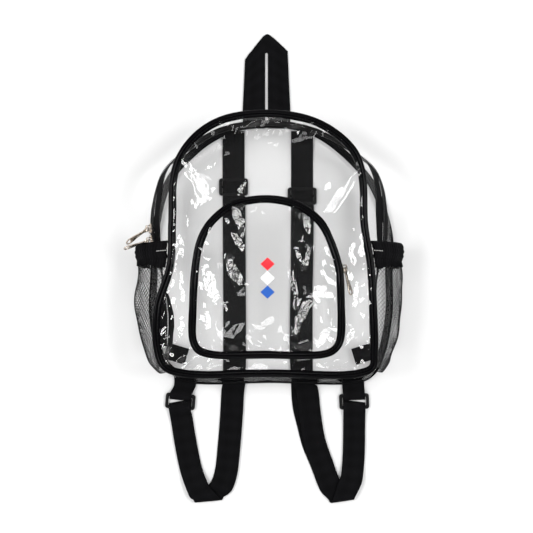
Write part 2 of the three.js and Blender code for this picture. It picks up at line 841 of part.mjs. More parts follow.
// Hang loop: two limbs side by side with a slit, mitred to a point, drooping from the back seam to the floor
function hangLoop() {
  const base = backHeight - backDrop - loopTuck;
  const tip = backHeight - backDrop + loopHeight;
  const shoulder = tip - loopPointHeight;
  const bend = backHeight - backDrop + 12;
  const wide = loopBaseWidth / 2;
  const narrow = loopShoulderWidth / 2;
  const shape = new THREE.Shape();
  shape.moveTo(-wide, base);
  shape.lineTo(-wide + 0.2, bend);
  shape.lineTo(-narrow, shoulder - 3);
  shape.lineTo(-5, tip - 5);
  shape.quadraticCurveTo(0, tip + 1, 5, tip - 5);
  shape.lineTo(narrow, shoulder + 5);
  shape.lineTo(wide - 0.2, bend);
  shape.lineTo(wide, base);
  shape.lineTo(loopSlit / 2, base);
  shape.lineTo(loopSlit / 2, bend);
  shape.lineTo(0, shoulder + 3);
  shape.lineTo(-loopSlit / 2, bend);
  shape.lineTo(-loopSlit / 2, base);
  const geometry = extrude(shape, loopWall, 4);
  const highZ = backUnderside - fitGap - loopWall;
  const places = geometry.attributes.position;
  for (let i = 0; i < places.count; i += 1) {
    if (places.getY(i) < bend - 1) places.setZ(i, places.getZ(i) + highZ);
  }
  geometry.computeVertexNormals();
  return geometry;
}

// The bridge is a loop sunk into the shield. The pull's eye hangs in the middle of its hole.
const bridgeLoop = bridgeHeight + bridgeSink;
const hingeHeight = sliderWall - bridgeSink + bridgeLoop / 2;

// Slider: a flat shield with a bridge over it for the pull. Local X runs along the zip and Z away from it.
function slider() {
  const front = sliderWidth / 2;
  const rear = front * 0.72;
  const end = sliderLength / 2;
  const shield = new THREE.Shape();
  shield.moveTo(-end, -rear);
  shield.lineTo(0, -rear);
  shield.lineTo(end * 0.5, -front);
  shield.lineTo(end, -front * 0.7);
  shield.lineTo(end, front * 0.7);
  shield.lineTo(end * 0.5, front);
  shield.lineTo(0, rear);
  shield.lineTo(-end, rear);
  const body = extrude(shield, sliderWall);
  const arch = roundedRectangle(bridgeLength, bridgeLoop, 1.4);
  const holeLength = bridgeLength - 2 * bridgeWall;
  const holeRise = bridgeLoop - 2 * bridgeWall;
  arch.holes.push(roundedRectangle(holeLength, holeRise, 0.6, new THREE.Path()));
  const bridge = extrude(arch, bridgeWidth, 2);
  bridge.translate(0, 0, -bridgeWidth / 2);
  bridge.rotateX(Math.PI / 2);
  bridge.translate(0, 0, hingeHeight);
  return fromSolid(solid(body).add(solid(bridge)));
}

// Pull: a tapered tab with an eye for the bridge at one end and a large hole at the other. Local X is its
// length.
function pull() {
  const outline = new THREE.Shape();
  const eye = pullEyeWidth / 2;
  const far = pullWidth / 2;
  const farX = pullLength - far;
  outline.moveTo(-0.7, -eye);
  outline.lineTo(4.4, -eye);
  outline.lineTo(7, -2);
  outline.lineTo(farX - 2, -far);
  outline.absarc(farX, 0, far, -Math.PI / 2, Math.PI / 2);
  outline.lineTo(farX - 2, far);
  outline.lineTo(7, 2);
  outline.lineTo(4.4, eye);
  outline.lineTo(-0.7, eye);
  const eyeHole = new THREE.Path();
  eyeHole.moveTo(0.6, -1.9);
  eyeHole.lineTo(3.9, -1.9);
  eyeHole.lineTo(3.9, 1.9);
  eyeHole.lineTo(0.6, 1.9);
  const farHole = new THREE.Path();
  farHole.absarc(farX, 0, far - 1.3, 0, 2 * Math.PI);
  outline.holes.push(eyeHole, farHole);
  return extrude(outline, pullWall, 3).translate(0, 0, -pullWall / 2);
}

function basis(xAxis, zAxis, place) {
  const x = xAxis.clone().normalize();
  const y = zAxis.clone().cross(x).normalize();
  const z = x.clone().cross(y);
  return new THREE.Matrix4().makeBasis(x, y, z).setPosition(place);
}

// Frame of a slider that sits on the teeth: X along the zip, Z away from it, turned about the zip by an
// angle. A turned slider rests with its lower edge on the tape.
function sliderFrame(crest, along, normal, turn = 0, teethHeight = 0) {
  const away = normal.clone().applyAxisAngle(along.clone().normalize(), turn * degrees);
  const edgeDrop = Math.sin(Math.abs(turn) * degrees) * (sliderWidth / 2);
  const lowEdge = edgeDrop - toothCrest * teethHeight + fitGap;
  const clearance = Math.max(fitGap, lowEdge / Math.cos(turn * degrees));
  return basis(along, away, crest.clone().addScaledVector(away, clearance));
}

// The pull's frame in its slider's: swung about the bridge from the direction along the zip, and twisted
function pullFrame(frame, swing, twist = 0) {
  const local = new THREE.Matrix4().makeTranslation(0, 0, hingeHeight);
  local.multiply(new THREE.Matrix4().makeRotationY(-swing * degrees));
  local.multiply(new THREE.Matrix4().makeRotationX(twist * degrees));
  return frame.clone().multiply(local);
}

function mainSliderFrame(y) {
  const t = reach(frontCurve, y, 'left');
  const distance = teethStart + zipTeethWidth / 2;
  const normal = gussetNormal(t, distance);
  const crest = gussetAt(t, distance).addScaledVector(normal, toothCrest * zipTeethHeight);
  const along = gussetAt(t - 1e-3, distance).sub(gussetAt(t + 1e-3, distance));
  return sliderFrame(crest, along, normal);
}

function pocketSliderFrame() {
  const t = reach(pocketCurve, pocketSliderY, 'right');
  const normal = pocketWallNormal(t, 0.5);
  const crest = pocketWall(t, 0.5).addScaledVector(normal, toothCrest * pocketTeethHeight);
  const along = pocketWall(t + 1e-3, 0.5).sub(pocketWall(t - 1e-3, 0.5));
  return sliderFrame(crest, along, normal, pocketSliderTurn, pocketTeethHeight);
}

// Materials, one for each real finish
function finish(color, roughness, metalness = 0, opacity = 1) {
  return new THREE.MeshStandardMaterial({ color, roughness, metalness, opacity, transparent: opacity < 1 });
}

const clearSheet = finish(0xe9eaee, 0.15, 0, 0.35);
const pipingBlack = finish(0x161616, 0.3);
const tapeBlack = finish(0x131313, 0.8);
const webbingBlack = finish(0x111111, 0.75);
const netBlack = finish(0x1c1c1c, 0.85);
const mouldedBlack = finish(0x141414, 0.45);
const nickel = finish(0x8f867b, 0.3, 1);

const bag = new THREE.Group();

function add(name, geometry, material, matrix) {
  const mesh = new THREE.Mesh(geometry, material);
  mesh.name = name;
  if (matrix) mesh.applyMatrix4(matrix);
  bag.add(mesh);
  return mesh;
}

const overTeeth = (t, d) => pocketWall(t, d / pocketWallHeight);
const awayFromTeeth = (t, d) => pocketWallNormal(t, d / pocketWallHeight);
const pocketTeethFrom = pocketTeethStart * pocketWallHeight;
const outerTapeEnd = pocketTeethStart - gapShare;
const baseTapeStart = pocketTeethStart + teethShare + gapShare;
const mainTeeth = zipTeeth(zipStations, gussetAt, gussetNormal, teethStart, zipTeethWidth, zipTeethHeight);
const pocketTeeth = zipTeeth(
  pocketStations, overTeeth, awayFromTeeth, pocketTeethFrom, pocketTeethWidth, pocketTeethHeight,
);
const pocketBottomStations = range(pocketZipEnd + pocketEndGap, pocketZipStart + 1 - pocketEndGap, 14);

add('front_panel', frontPanel(), clearSheet);
add('back_panel', backPanel(), clearSheet);
add('front_piping', piping(frontCurve, loopSteps, pipingWidth, pipingHeight, seamHeight), pipingBlack);
add('back_piping', piping(backCurve, loopSteps, pipingWidth, pipingHeight, () => backSeamZ), pipingBlack);
add('gusset_front_strip', gussetBand(0, frontStripWidth, 2, sheetWall), clearSheet);
add('main_zip_tape_front', gussetBand(tapeStart, tapeStart + zipTapeWidth, 1, zipTapeWall), tapeBlack);
add('main_zip_teeth', mainTeeth, tapeBlack);
add('main_zip_tape_rear', gussetBand(tapeTwoStart, zipBottom, 1, zipTapeWall), tapeBlack);
add('gusset_rear_strip', rearStrip(), clearSheet);
add('gusset_bottom', bottomGusset(), clearSheet);

add('pocket_panel', pocketPanel(), clearSheet);
add('pocket_piping', pocketPipingBand(), pipingBlack);
add('pocket_zip_tape_outer', sheet(pocketWall, pocketStations, [0, outerTapeEnd], zipTapeWall), tapeBlack);
add('pocket_zip_teeth', pocketTeeth, tapeBlack);
add('pocket_zip_tape_base', sheet(pocketWall, pocketStations, [baseTapeStart, 1], zipTapeWall), tapeBlack);
add('pocket_base_strip', sheet(pocketWall, pocketBottomStations, [0, 1], sheetWall), clearSheet);

for (const side of ['left', 'right']) {
  add(`mesh_pocket_${side}`, netPocket(side), netBlack);
  add(`mesh_hem_${side}`, netHem(side), tapeBlack);
  add(`shoulder_strap_${side}`, shoulderStrap(side), webbingBlack);
  add(`strap_adjuster_${side}`, strapAdjuster(side), mouldedBlack);
  add(`strap_ring_${side}`, strapRing(side), mouldedBlack);
  add(`strap_stub_${side}`, strapStub(side), webbingBlack);
  add(`corner_anchor_${side}`, cornerAnchor(side), webbingBlack);
}

add('hang_loop', hangLoop(), webbingBlack);

const upperFrame = mainSliderFrame(upperSliderY);
const lowerFrame = mainSliderFrame(upperSliderY - sliderSpacing);
const pocketFrame = pocketSliderFrame();
add('main_slider_upper', slider(), nickel, upperFrame);
add('main_slider_lower', slider(), nickel, lowerFrame);
add('pocket_slider', slider(), nickel, pocketFrame);
add('main_pull_upper', pull(), nickel, pullFrame(upperFrame, upperPullSwing));
add('main_pull_lower', pull(), nickel, pullFrame(lowerFrame, lowerPullSwing));
add('pocket_pull', pull(), nickel, pullFrame(pocketFrame, pocketPullSwing, pocketPullTwist));

// Centred over the origin in plan, with the lowest point on the floor
const box = new THREE.Box3().setFromObject(bag);
const middle = box.getCenter(new THREE.Vector3());
bag.position.set(-middle.x, -middle.y, -box.min.z);
bag.updateMatrixWorld(true);

export default bag;
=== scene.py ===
import json
import math
from types import SimpleNamespace

import bmesh
import bpy
import numpy as np
from bpy.props import FloatProperty, FloatVectorProperty, PointerProperty
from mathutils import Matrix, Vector

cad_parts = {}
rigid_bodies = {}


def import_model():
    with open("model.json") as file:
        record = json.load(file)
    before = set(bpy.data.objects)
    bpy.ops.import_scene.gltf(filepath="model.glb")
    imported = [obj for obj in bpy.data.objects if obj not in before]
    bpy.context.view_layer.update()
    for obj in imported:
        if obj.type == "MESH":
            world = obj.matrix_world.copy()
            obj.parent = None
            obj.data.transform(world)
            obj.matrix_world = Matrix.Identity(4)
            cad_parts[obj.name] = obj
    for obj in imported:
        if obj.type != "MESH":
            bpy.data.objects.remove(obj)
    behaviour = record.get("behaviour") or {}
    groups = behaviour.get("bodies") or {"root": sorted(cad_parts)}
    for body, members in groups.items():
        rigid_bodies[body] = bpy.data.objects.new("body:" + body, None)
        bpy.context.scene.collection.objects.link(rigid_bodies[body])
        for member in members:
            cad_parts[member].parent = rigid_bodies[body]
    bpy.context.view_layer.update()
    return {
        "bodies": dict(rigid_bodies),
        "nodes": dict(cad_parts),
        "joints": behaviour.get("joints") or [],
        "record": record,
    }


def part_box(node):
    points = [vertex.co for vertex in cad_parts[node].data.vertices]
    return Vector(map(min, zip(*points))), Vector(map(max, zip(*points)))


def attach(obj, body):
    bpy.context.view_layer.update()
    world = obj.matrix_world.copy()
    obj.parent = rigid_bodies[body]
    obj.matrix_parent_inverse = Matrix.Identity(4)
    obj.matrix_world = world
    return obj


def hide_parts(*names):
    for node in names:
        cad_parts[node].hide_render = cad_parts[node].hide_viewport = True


bl_info = {
    "name": "Clear Backpack",
    "version": (1, 0, 0),
    "blender": (4, 5, 0),
    "location": "3D View > Sidebar > Backpack",
    "description": "Dresses a clear vinyl backpack's frame with sheets, piping, zips, net and webbing",
    "category": "Object",
}

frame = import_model()

MM = 0.001
SIDES = ("left", "right")

# Clearance between pieces that lie on each other, in millimetres
GAP = 0.35

# Where the frame puts the middle of the left slide, whose place in the bag is known
SLIDE_LOW, SLIDE_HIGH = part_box("strap_adjuster_left")
SLIDE_MIDDLE = (SLIDE_LOW + SLIDE_HIGH) / 2 / MM

# Small sizes that follow the frame, in millimetres
RING_WALL = 2.0
SLIDE_BAR = 3.0
MIDDLE_BAR_HEIGHT = 1.3
STUB_TOP = -4.0
SLIDER_LENGTH = 11.0
SLIDER_WIDTH = 8.6
SLIDER_WALL = 2.2
BRIDGE_WIDTH = 2.4
BRIDGE_HEIGHT = 4.8
BRIDGE_WALL = 1.1
BRIDGE_LENGTH = 7.2
BRIDGE_SINK = 1.0
HINGE_HEIGHT = SLIDER_WALL - BRIDGE_SINK + (BRIDGE_HEIGHT + BRIDGE_SINK) / 2
PULL_WALL = 1.3
TOOTH_CREST = 0.9
TEETH_HEIGHT = 2.2
POCKET_TEETH_HEIGHT = 1.8
POCKET_TEETH_WIDTH = 4
POCKET_TOOTH_PITCH = 1.5
BAR_ROOM = 1.6
SHEET_TUCK = 3.2
POCKET_SHEET_TUCK = 3.0
ZIP_STEPS = 420

# Where a wall is sewn in, as a share of its binding's width, and where the pocket's zip ends, of its height
GUSSET_SEAM = 0.28
POCKET_SEAM = 0.3
POCKET_ZIP_LOW = 0.12


# Colours and sizes

def linear(hex_code):
    """Linear red, green, blue and alpha for an sRGB hex code."""
    channels = [int(hex_code[i:i + 2], 16) / 255 for i in (0, 2, 4)]
    return [c / 12.92 if c <= 0.04045 else ((c + 0.055) / 1.055) ** 2.4 for c in channels] + [1.0]


def length(name, millimetres, description):
    return FloatProperty(name=name, description=description, default=millimetres * MM, unit="LENGTH")


def colour(name, hex_code, description):
    return FloatVectorProperty(
        name=name, description=description, default=linear(hex_code)[:3],
        subtype="COLOR", size=3, min=0, max=1,
    )


def in_millimetres(group):
    return SimpleNamespace(**{key: getattr(group, key) / MM for key in group.__annotations__})


class BackpackBody(bpy.types.PropertyGroup):
    """Sizes of the bag itself"""

    front_width: length("Front width", 242, "Width of the front over its piping")
    front_height: length("Front height", 287.5, "Height of the front over its piping")
    back_width: length("Back width", 280, "Width of the back over its piping")
    back_height: length("Back height", 302, "Height of the back over its piping")
    back_drop: length("Back drop", 15, "How far the back reaches below the front")
    back_shift: length("Back shift", 5, "How far the back lies to the right of the front")
    depth: length("Depth", 90, "Depth between the two seams")
    crown_dip: length("Crown dip", 5, "How far the front seam dips at its top and bottom")
    dome: length("Dome", 5, "How far the front stands proud of its seam")
    sheet_wall: length("Sheet", 0.6, "Thickness of the clear sheet")
    piping_width: length("Piping width", 8.6, "Width of the cord and binding")
    piping_height: length("Piping height", 4.6, "Thickness of the cord")


class BackpackZips(bpy.types.PropertyGroup):
    """Sizes of the zips, sliders and pulls"""

    front_strip: length("Front strip", 22, "Clear strip between the front piping and the zip")
    tape: length("Tape", 12.5, "Width of one tape of the main zip")
    tape_wall: length("Tape thickness", 0.9, "Thickness of the woven tape")
    teeth: length("Teeth", 5.6, "Width over both rows of the main zip's teeth")
    low_end: length("Low end", 33, "Height of the main zip's two ends above the bottom")
    tooth_pitch: length("Tooth pitch", 1.8, "Distance from one turn of the coil to the next")
    pull_length: length("Pull length", 30, "Length of a zip pull")
    pull_width: length("Pull width", 9, "Width of a zip pull at its hole")
    slider_height: length("Slider height", 162.5, "Height of the upper slider above the bottom")
    slider_spacing: length("Slider spacing", 11.5, "Distance between the two main sliders")
    pocket_slider_height: length("Pocket slider height", 117, "Height of the pocket's slider")


class BackpackPocket(bpy.types.PropertyGroup):
    """Sizes of the front pocket and the net pockets"""

    width: length("Pocket width", 164, "Width of the front pocket over its piping")
    height: length("Pocket height", 172.5, "Height of the front pocket over its piping")
    bottom: length("Pocket bottom", 21.5, "Height of the front pocket above the bottom seam")
    depth: length("Pocket depth", 17, "Depth of the front pocket")
    dome: length("Pocket dome", 3, "How far the pocket's panel stands proud")
    lean: length("Pocket lean", 4, "How far the pocket's wall leans in at its foot")
    piping_width: length("Pocket piping width", 8.4, "Width of the pocket's piping")
    piping_height: length("Pocket piping height", 4.2, "Thickness of the pocket's piping")
    net_top: length("Net top", 128, "Height of the net pockets' top edge")
    net_bulge: length("Net bulge", 10, "How far the net stands off the gusset")
    net_mesh: length("Net mesh", 5.0, "Width of one hole of the net")
    strand: length("Strand", 0.5, "Thickness of one strand of the net")
    hem_width: length("Hem width", 19, "Width of the elastic hem")
    hem_bulge: length("Hem bulge", 8.5, "How far the hem stands off the gusset")


class BackpackWebbing(bpy.types.PropertyGroup):
    """Sizes of the straps and the hang loop"""

    width: length("Webbing width", 25.4, "Width of the webbing")
    wall: length("Webbing thickness", 1.5, "Thickness of the webbing")
    left_x: length("Left strap", -38, "Place of the left strap across the bag")
    right_x: length("Right strap", 41, "Place of the right strap across the bag")
    top: length("Strap top", 275, "Height where the straps are sewn on")
    exit: length("Strap exit", -15, "Height where the straps leave the bag")
    loop_drop: length("Loop drop", 136, "How far a strap's loop hangs below the bag")
    fold_width: length("Fold width", 29.5, "Length of the fold at the bottom of a strap's loop")
    slide_left_y: length("Left slide", 210.5, "Height of the left slide")
    slide_right_y: length("Right slide", 200, "Height of the right slide")
    slide_width: length("Slide width", 33.5, "Width of a slide")
    slide_height: length("Slide height", 20, "Height of a slide")
    ring_width: length("Ring width", 34.5, "Width of a ring")
    ring_height: length("Ring height", 18, "Height of a ring")
    ring_bar: length("Ring bar", 3.6, "Width of a ring's bar")
    loop_height: length("Hang loop height", 103, "How far the hang loop stands above the bag")
    loop_base: length("Hang loop base", 55, "Width over both limbs of the hang loop at its base")
    loop_shoulder: length("Hang loop shoulder", 49, "Width of the hang loop where its point begins")


class BackpackColours(bpy.types.PropertyGroup):
    """Colours of the bag's materials"""

    sheet: colour("Clear sheet", "FEFEFE", "Tint of the clear vinyl")
    binding: colour("Binding", "050506", "Glossy vinyl of the piping")
    tape: colour("Zip tape", "060607", "Woven tape, elastic and coil")
    webbing: colour("Webbing", "060607", "Woven straps")
    net: colour("Net", "0A0A0B", "Strands of the net")
    moulded: colour("Moulded parts", "080809", "Rings and slides")
    metal: colour("Metal", "B9AFA4", "Plating of the sliders and pulls")
    emblem_upper: colour("Emblem upper", "D21E2B", "Upper diamond of the emblem")
    emblem_middle: colour("Emblem middle", "F2F2F2", "Middle diamond of the emblem")
    emblem_lower: colour("Emblem lower", "1C4FA0", "Lower diamond of the emblem")
    floor: colour("Floor", "D8D8D8", "Paper that the bag lies on")


GROUPS = {
    "backpack_body": BackpackBody,
    "backpack_zips": BackpackZips,
    "backpack_pocket": BackpackPocket,
    "backpack_webbing": BackpackWebbing,
    "backpack_colours": BackpackColours,
}


# Tables of the outlines, one row for each level from the bottom corners to the arch

def table(columns, rows):
    """The columns of a table of numbers, by name."""
    return dict(zip(columns.split(), np.array(rows, float).T))


LEVEL_COLUMNS = "up front_left front_right back_left back_right bulge_left bulge_right fold_left fold_right"
LEVELS = table(LEVEL_COLUMNS, [
    (0, 0.75, 0.83, 0.66, 0.72, 0.03, 0.03, 0, 0),
    (0.03, 0.93, 0.97, 0.81, 0.85, 0.03, 0.03, 0, 0),
    (0.1, 1, 0.99, 0.93, 0.93, 0.02, 0.02, 0.2, 0.14),
    (0.26, 1, 0.98, 1, 1, 0.05, 0.06, 0.34, 0.26),
    (0.42, 0.885, 0.955, 0.99, 1, 0.12, 0.07, 0.14, 0.14),
    (0.57, 0.87, 0.9, 0.98, 1, 0.155, 0.12, 0, 0),
    (0.76, 0.85, 0.88, 0.88, 0.86, 0.12, 0.15, 0, 0),
    (0.85, 0.768, 0.805, 0.74, 0.7, 0.02, 0.03, 0, 0),
    (0.93, 0.598, 0.61, 0.54, 0.5, -0.05, -0.05, 0, 0),
    (0.98, 0.37, 0.36, 0.32, 0.29, -0.08, -0.08, 0, 0),
])
BOTTOM_BULGE = 0.02
CROWN_SAG = 0.09
FOLD_SKEW = 1.6
LEVEL_BLUR = 0.016

POCKET_LEVELS = table("up left right", [
    (0.004, 0.74, 0.74),
    (0.036, 0.913, 0.9),
    (0.107, 0.993, 0.996),
    (0.36, 0.993, 1.007),
    (0.556, 0.965, 0.98),
    (0.737, 0.888, 0.86),
    (0.857, 0.737, 0.72),
    (0.965, 0.433, 0.4),
])

# Folds pressed into the clear panels. Each runs from one end to the other and is a ramp of that width,
# steep enough to catch a lamp, with a long soft fall on the side away from it.
FOLD_COLUMNS = "from_x from_y to_x to_y width degrees fall"
FRONT_FOLDS = table(FOLD_COLUMNS, [
    (-88, 231, -68, 190, 9, 16, 24),
    (-56, 203, -71, 182, 6, -15, 18),
    (98, 220, 69, 177, 8, -16, 24),
    (84, 60, 106, 35, 3.5, 15, 14),
    (-92, 150, -99, 112, 6, 13, 16),
    (-96, 60, -82, 34, 4, 14, 14),
    (92, 140, 88, 96, 6, -12, 16),
])
POCKET_FOLDS = table(FOLD_COLUMNS, [
    (-60, 117, -63, 54, 17, 15, 16),
    (57, 92, 65, 38, 14, -15, 14),
    (-34, 181, -24, 151, 8, 16, 12),
    (-34, 151, -23, 136, 6, 16, 9),
    (-43, 128, -28, 94, 9, 16, 12),
    (40, 172, 44, 158, 7, -16, 9),
    (29, 141, 37, 117, 4, 16, 5),
    (46, 140, 38, 117, 4, -16, 5),
    (25, 121, 32, 75, 4, 16, 7),
    (46, 90, 28, 52, 10, -16, 12),
    (27, 52, 38, 34, 6, 16, 8),
])

# How many degrees a pressed patch leans up at the bottom of the bag, how much less for each millimetre up,
# and its size against the table
PRESS_RISE, PRESS_FALL = 7.6, 0.0455
PRESS_SIZE = 0.85

# Patches where the film was pressed flat in its pack. Each is an ellipse of half that length and width along
# its axis, and leans by that many degrees to the right, or to the left below zero.
PRESS_COLUMNS = "x y long wide axis_x axis_y lean"
FRONT_PRESSES = table(PRESS_COLUMNS, [
    (-26, 202.6, 8.5, 3.4, 0.47, 0.88, -14.5),
    (-72.6, 210, 26, 6, 0.56, -0.83, -13),
    (-64, 194, 12, 4.5, 0.6, 0.8, -13.2),
    (-90.6, 141, 15, 2.6, 0.1, -1, -12.7),
    (-90.2, 94, 22, 2.6, 0.05, -1, -12.7),
    (-91.5, 52, 11, 4, -0.2, -1, -12.7),
    (-60, 226, 8, 2, 0.8, 0.5, -13.2),
    (73.7, 190.5, 20, 5.5, 0.57, 0.82, 13),
    (66, 205, 7, 3, 0.57, 0.82, 13.1),
    (95, 88, 17, 3, 0.1, 1, 12.7),
    (90, 45, 12, 4, 0.4, 1, 12.8),
])
POCKET_PRESSES = table(PRESS_COLUMNS, [
    (-29.7, 170, 13, 5, 0.45, -0.89, -14.4),
    (-41, 166, 5, 2.4, 0.3, -1, -14.3),
    (-30.2, 146, 9.5, 4.6, 0.5, -0.85, -14.4),
    (-32.3, 111, 18, 6.5, 0.45, -0.89, -14.4),
    (-43, 77, 8, 2.2, 0.3, -0.95, -14.3),
    (-57.8, 98, 23, 7, 0.3, -0.95, -13.5),
    (-62, 60, 12, 4, 0.1, -1, -13.4),
    (43, 166, 9, 4.6, 0.1, -1, 14.3),
    (33.5, 131, 14, 2.6, 0.38, -0.93, 14.4),
    (43.5, 131, 14, 2.6, -0.22, -0.97, 14.3),
    (28, 101, 19, 4, 0.3, -0.95, 14.5),
    (38, 70, 25, 6, -0.42, -0.9, 14.3),
    (55, 92, 10, 7, 0.6, 0.8, 13.6),
    (60, 45, 14, 5, 0.4, 0.9, 13.5),
])

# Route of each strap below the bag. Across runs from the strap's exit to its ring, down is a share of the drop,
# ring holds its place and turn, and bight is the slack and slant of the strap's turn round it.
LOOP_ROUTES = {
    "left": SimpleNamespace(
        inner=table("across down", [
            (0.021, 0.065), (0.046, 0.263), (0.095, 0.546), (0.155, 0.772), (0.246, 0.884),
        ]),
        back=table("across down", [
            (0.021, 0.065), (0.046, 0.263), (0.095, 0.546), (0.155, 0.772), (0.246, 0.884),
        ]),
        outer=table("across down", [
            (0.625, 0.926), (0.711, 0.842), (0.799, 0.735), (0.907, 0.500), (0.979, 0.301),
        ]),
        fold=0.468,
        fold_half=(15.0, 1.45),
        ring=(-99.3, -36.5, -5.0),
        bight=(2.6, -3.4),
        stub_x=-94,
    ),
    "right": SimpleNamespace(
        inner=table("across down", [
            (0.028, 0.192), (0.107, 0.343), (0.212, 0.518), (0.367, 0.684), (0.555, 0.890),
        ]),
        back=table("across down", [
            (0.072, 0.051), (0.137, 0.274), (0.220, 0.490), (0.367, 0.684), (0.525, 0.868),
        ]),
        outer=table("across down", [
            (0.870, 0.896), (0.942, 0.815), (0.980, 0.701), (0.998, 0.532), (1.003, 0.319),
        ]),
        fold=0.762,
        fold_half=(12.9, 1.9),
        ring=(101, -36.5, 2.0),
        bight=(2.6, 2.0),
        stub_x=100,
    ),
}


# Curves and surfaces, in millimetres

def unit(vectors):
    return vectors / np.maximum(np.linalg.norm(vectors, axis=-1, keepdims=True), 1e-9)


def spline(points, closed=True):
    """Centripetal curve through points, as a function of a share from 0 to 1."""
    points = np.asarray(points, float)
    count = len(points)

    def at(share):
        place = np.asarray(share, float)
        place = np.mod(place, 1.0) * count if closed else np.clip(place, 0, 1) * (count - 1)
        start = np.floor(place).astype(int)
        if not closed:
            start = np.minimum(start, count - 2)
        w = (place - start)[..., None]

        def pick(step):
            i = start + step
            if closed:
                return points[i % count]
            inside = points[np.clip(i, 0, count - 1)]
            before = 2 * points[0] - points[1]
            after = 2 * points[-1] - points[-2]
            inside = np.where((i < 0)[..., None], before, inside)
            return np.where((i >= count)[..., None], after, inside)

        p0, p1, p2, p3 = (pick(step) for step in (-1, 0, 1, 2))
        d0, d1, d2 = (
            np.maximum(np.linalg.norm(b - a, axis=-1, keepdims=True) ** 0.5, 1e-3)
            for a, b in ((p0, p1), (p1, p2), (p2, p3))
        )
        m1 = ((p1 - p0) / d0 - (p2 - p0) / (d0 + d1) + (p2 - p1) / d1) * d1
        m2 = ((p2 - p1) / d1 - (p3 - p1) / (d1 + d2) + (p3 - p2) / d2) * d1
        cubic = 2 * (p1 - p2) + m1 + m2
        square = 3 * (p2 - p1) - 2 * m1 - m2
        return p1 + m1 * w + square * w ** 2 + cubic * w ** 3

    return at


def outline(rows, half_width, height, bottom, shift, left, right):
    """Closed curve from the middle of the bottom up the left side, over the crown and down the right side."""
    def side(shares, sign):
        return np.column_stack([shift + sign * shares * half_width, bottom + rows["up"] * height])

    middle = np.array([[shift, bottom]])
    crown = np.array([[shift, bottom + height]])
    return spline(np.vstack([middle, side(rows[left], -1), crown, side(rows[right], 1)[::-1]]))


def outward(curve, t):
    tangent = curve(np.asarray(t) + 1e-4) - curve(np.asarray(t) - 1e-4)
    return unit(np.stack([-tangent[..., 1], tangent[..., 0]], axis=-1))


def inset(curve, t, distance):
    return curve(t) - outward(curve, t) * np.asarray(distance)[..., None]


def reach(curve, y, side):
    """The share round a loop where its left or right side reaches the height y."""
    low, high = (0.02 if side == "left" else 0.98), 0.5
    for _ in range(40):
        middle = (low + high) / 2
        low, high = (middle, high) if curve(middle)[1] < y else (low, middle)
    return low


def ripple(u, v, scale, seed, waves=7):
    """Smooth random waves about scale apart, mostly between -1 and 1."""
    draws = np.random.default_rng(seed)
    total = 0.0
    for _ in range(waves):
        angle, phase = draws.uniform(0, 2 * math.pi, 2)
        pitch = scale * draws.uniform(0.7, 1.5)
        total = total + np.sin((u * math.cos(angle) + v * math.sin(angle)) * 2 * math.pi / pitch + phase)
    return total / (1.2 * math.sqrt(waves))


def smooth(x):
    x = np.clip(x, 0, 1)
    return x * x * (3 - 2 * x)


def folds(x, y, rows):
    """Height of the folds in a table at each point."""
    total = np.zeros_like(x)
    for i in range(len(rows["width"])):
        start = np.array([rows["from_x"][i], rows["from_y"][i]])
        end = np.array([rows["to_x"][i], rows["to_y"][i]])
        width, fall = rows["width"][i], rows["fall"][i]
        along = unit(end - start)
        run = np.linalg.norm(end - start)
        distance = (x - start[0]) * along[0] + (y - start[1]) * along[1]
        bend = 1.6 * ripple(x, y, 22, 40 + i)
        across = (x - start[0]) * -along[1] + (y - start[1]) * along[0] + bend
        rise = width * math.tan(math.radians(abs(rows["degrees"][i])))
        across = across * math.copysign(1, rows["degrees"][i])
        ramp = smooth(across / width + 0.5) * np.exp(-np.maximum(across - width / 2, 0) / fall)
        ends = smooth((distance + width) / (1.6 * width)) * smooth((run + width - distance) / (1.6 * width))
        total += rise * ramp * ends
    return total


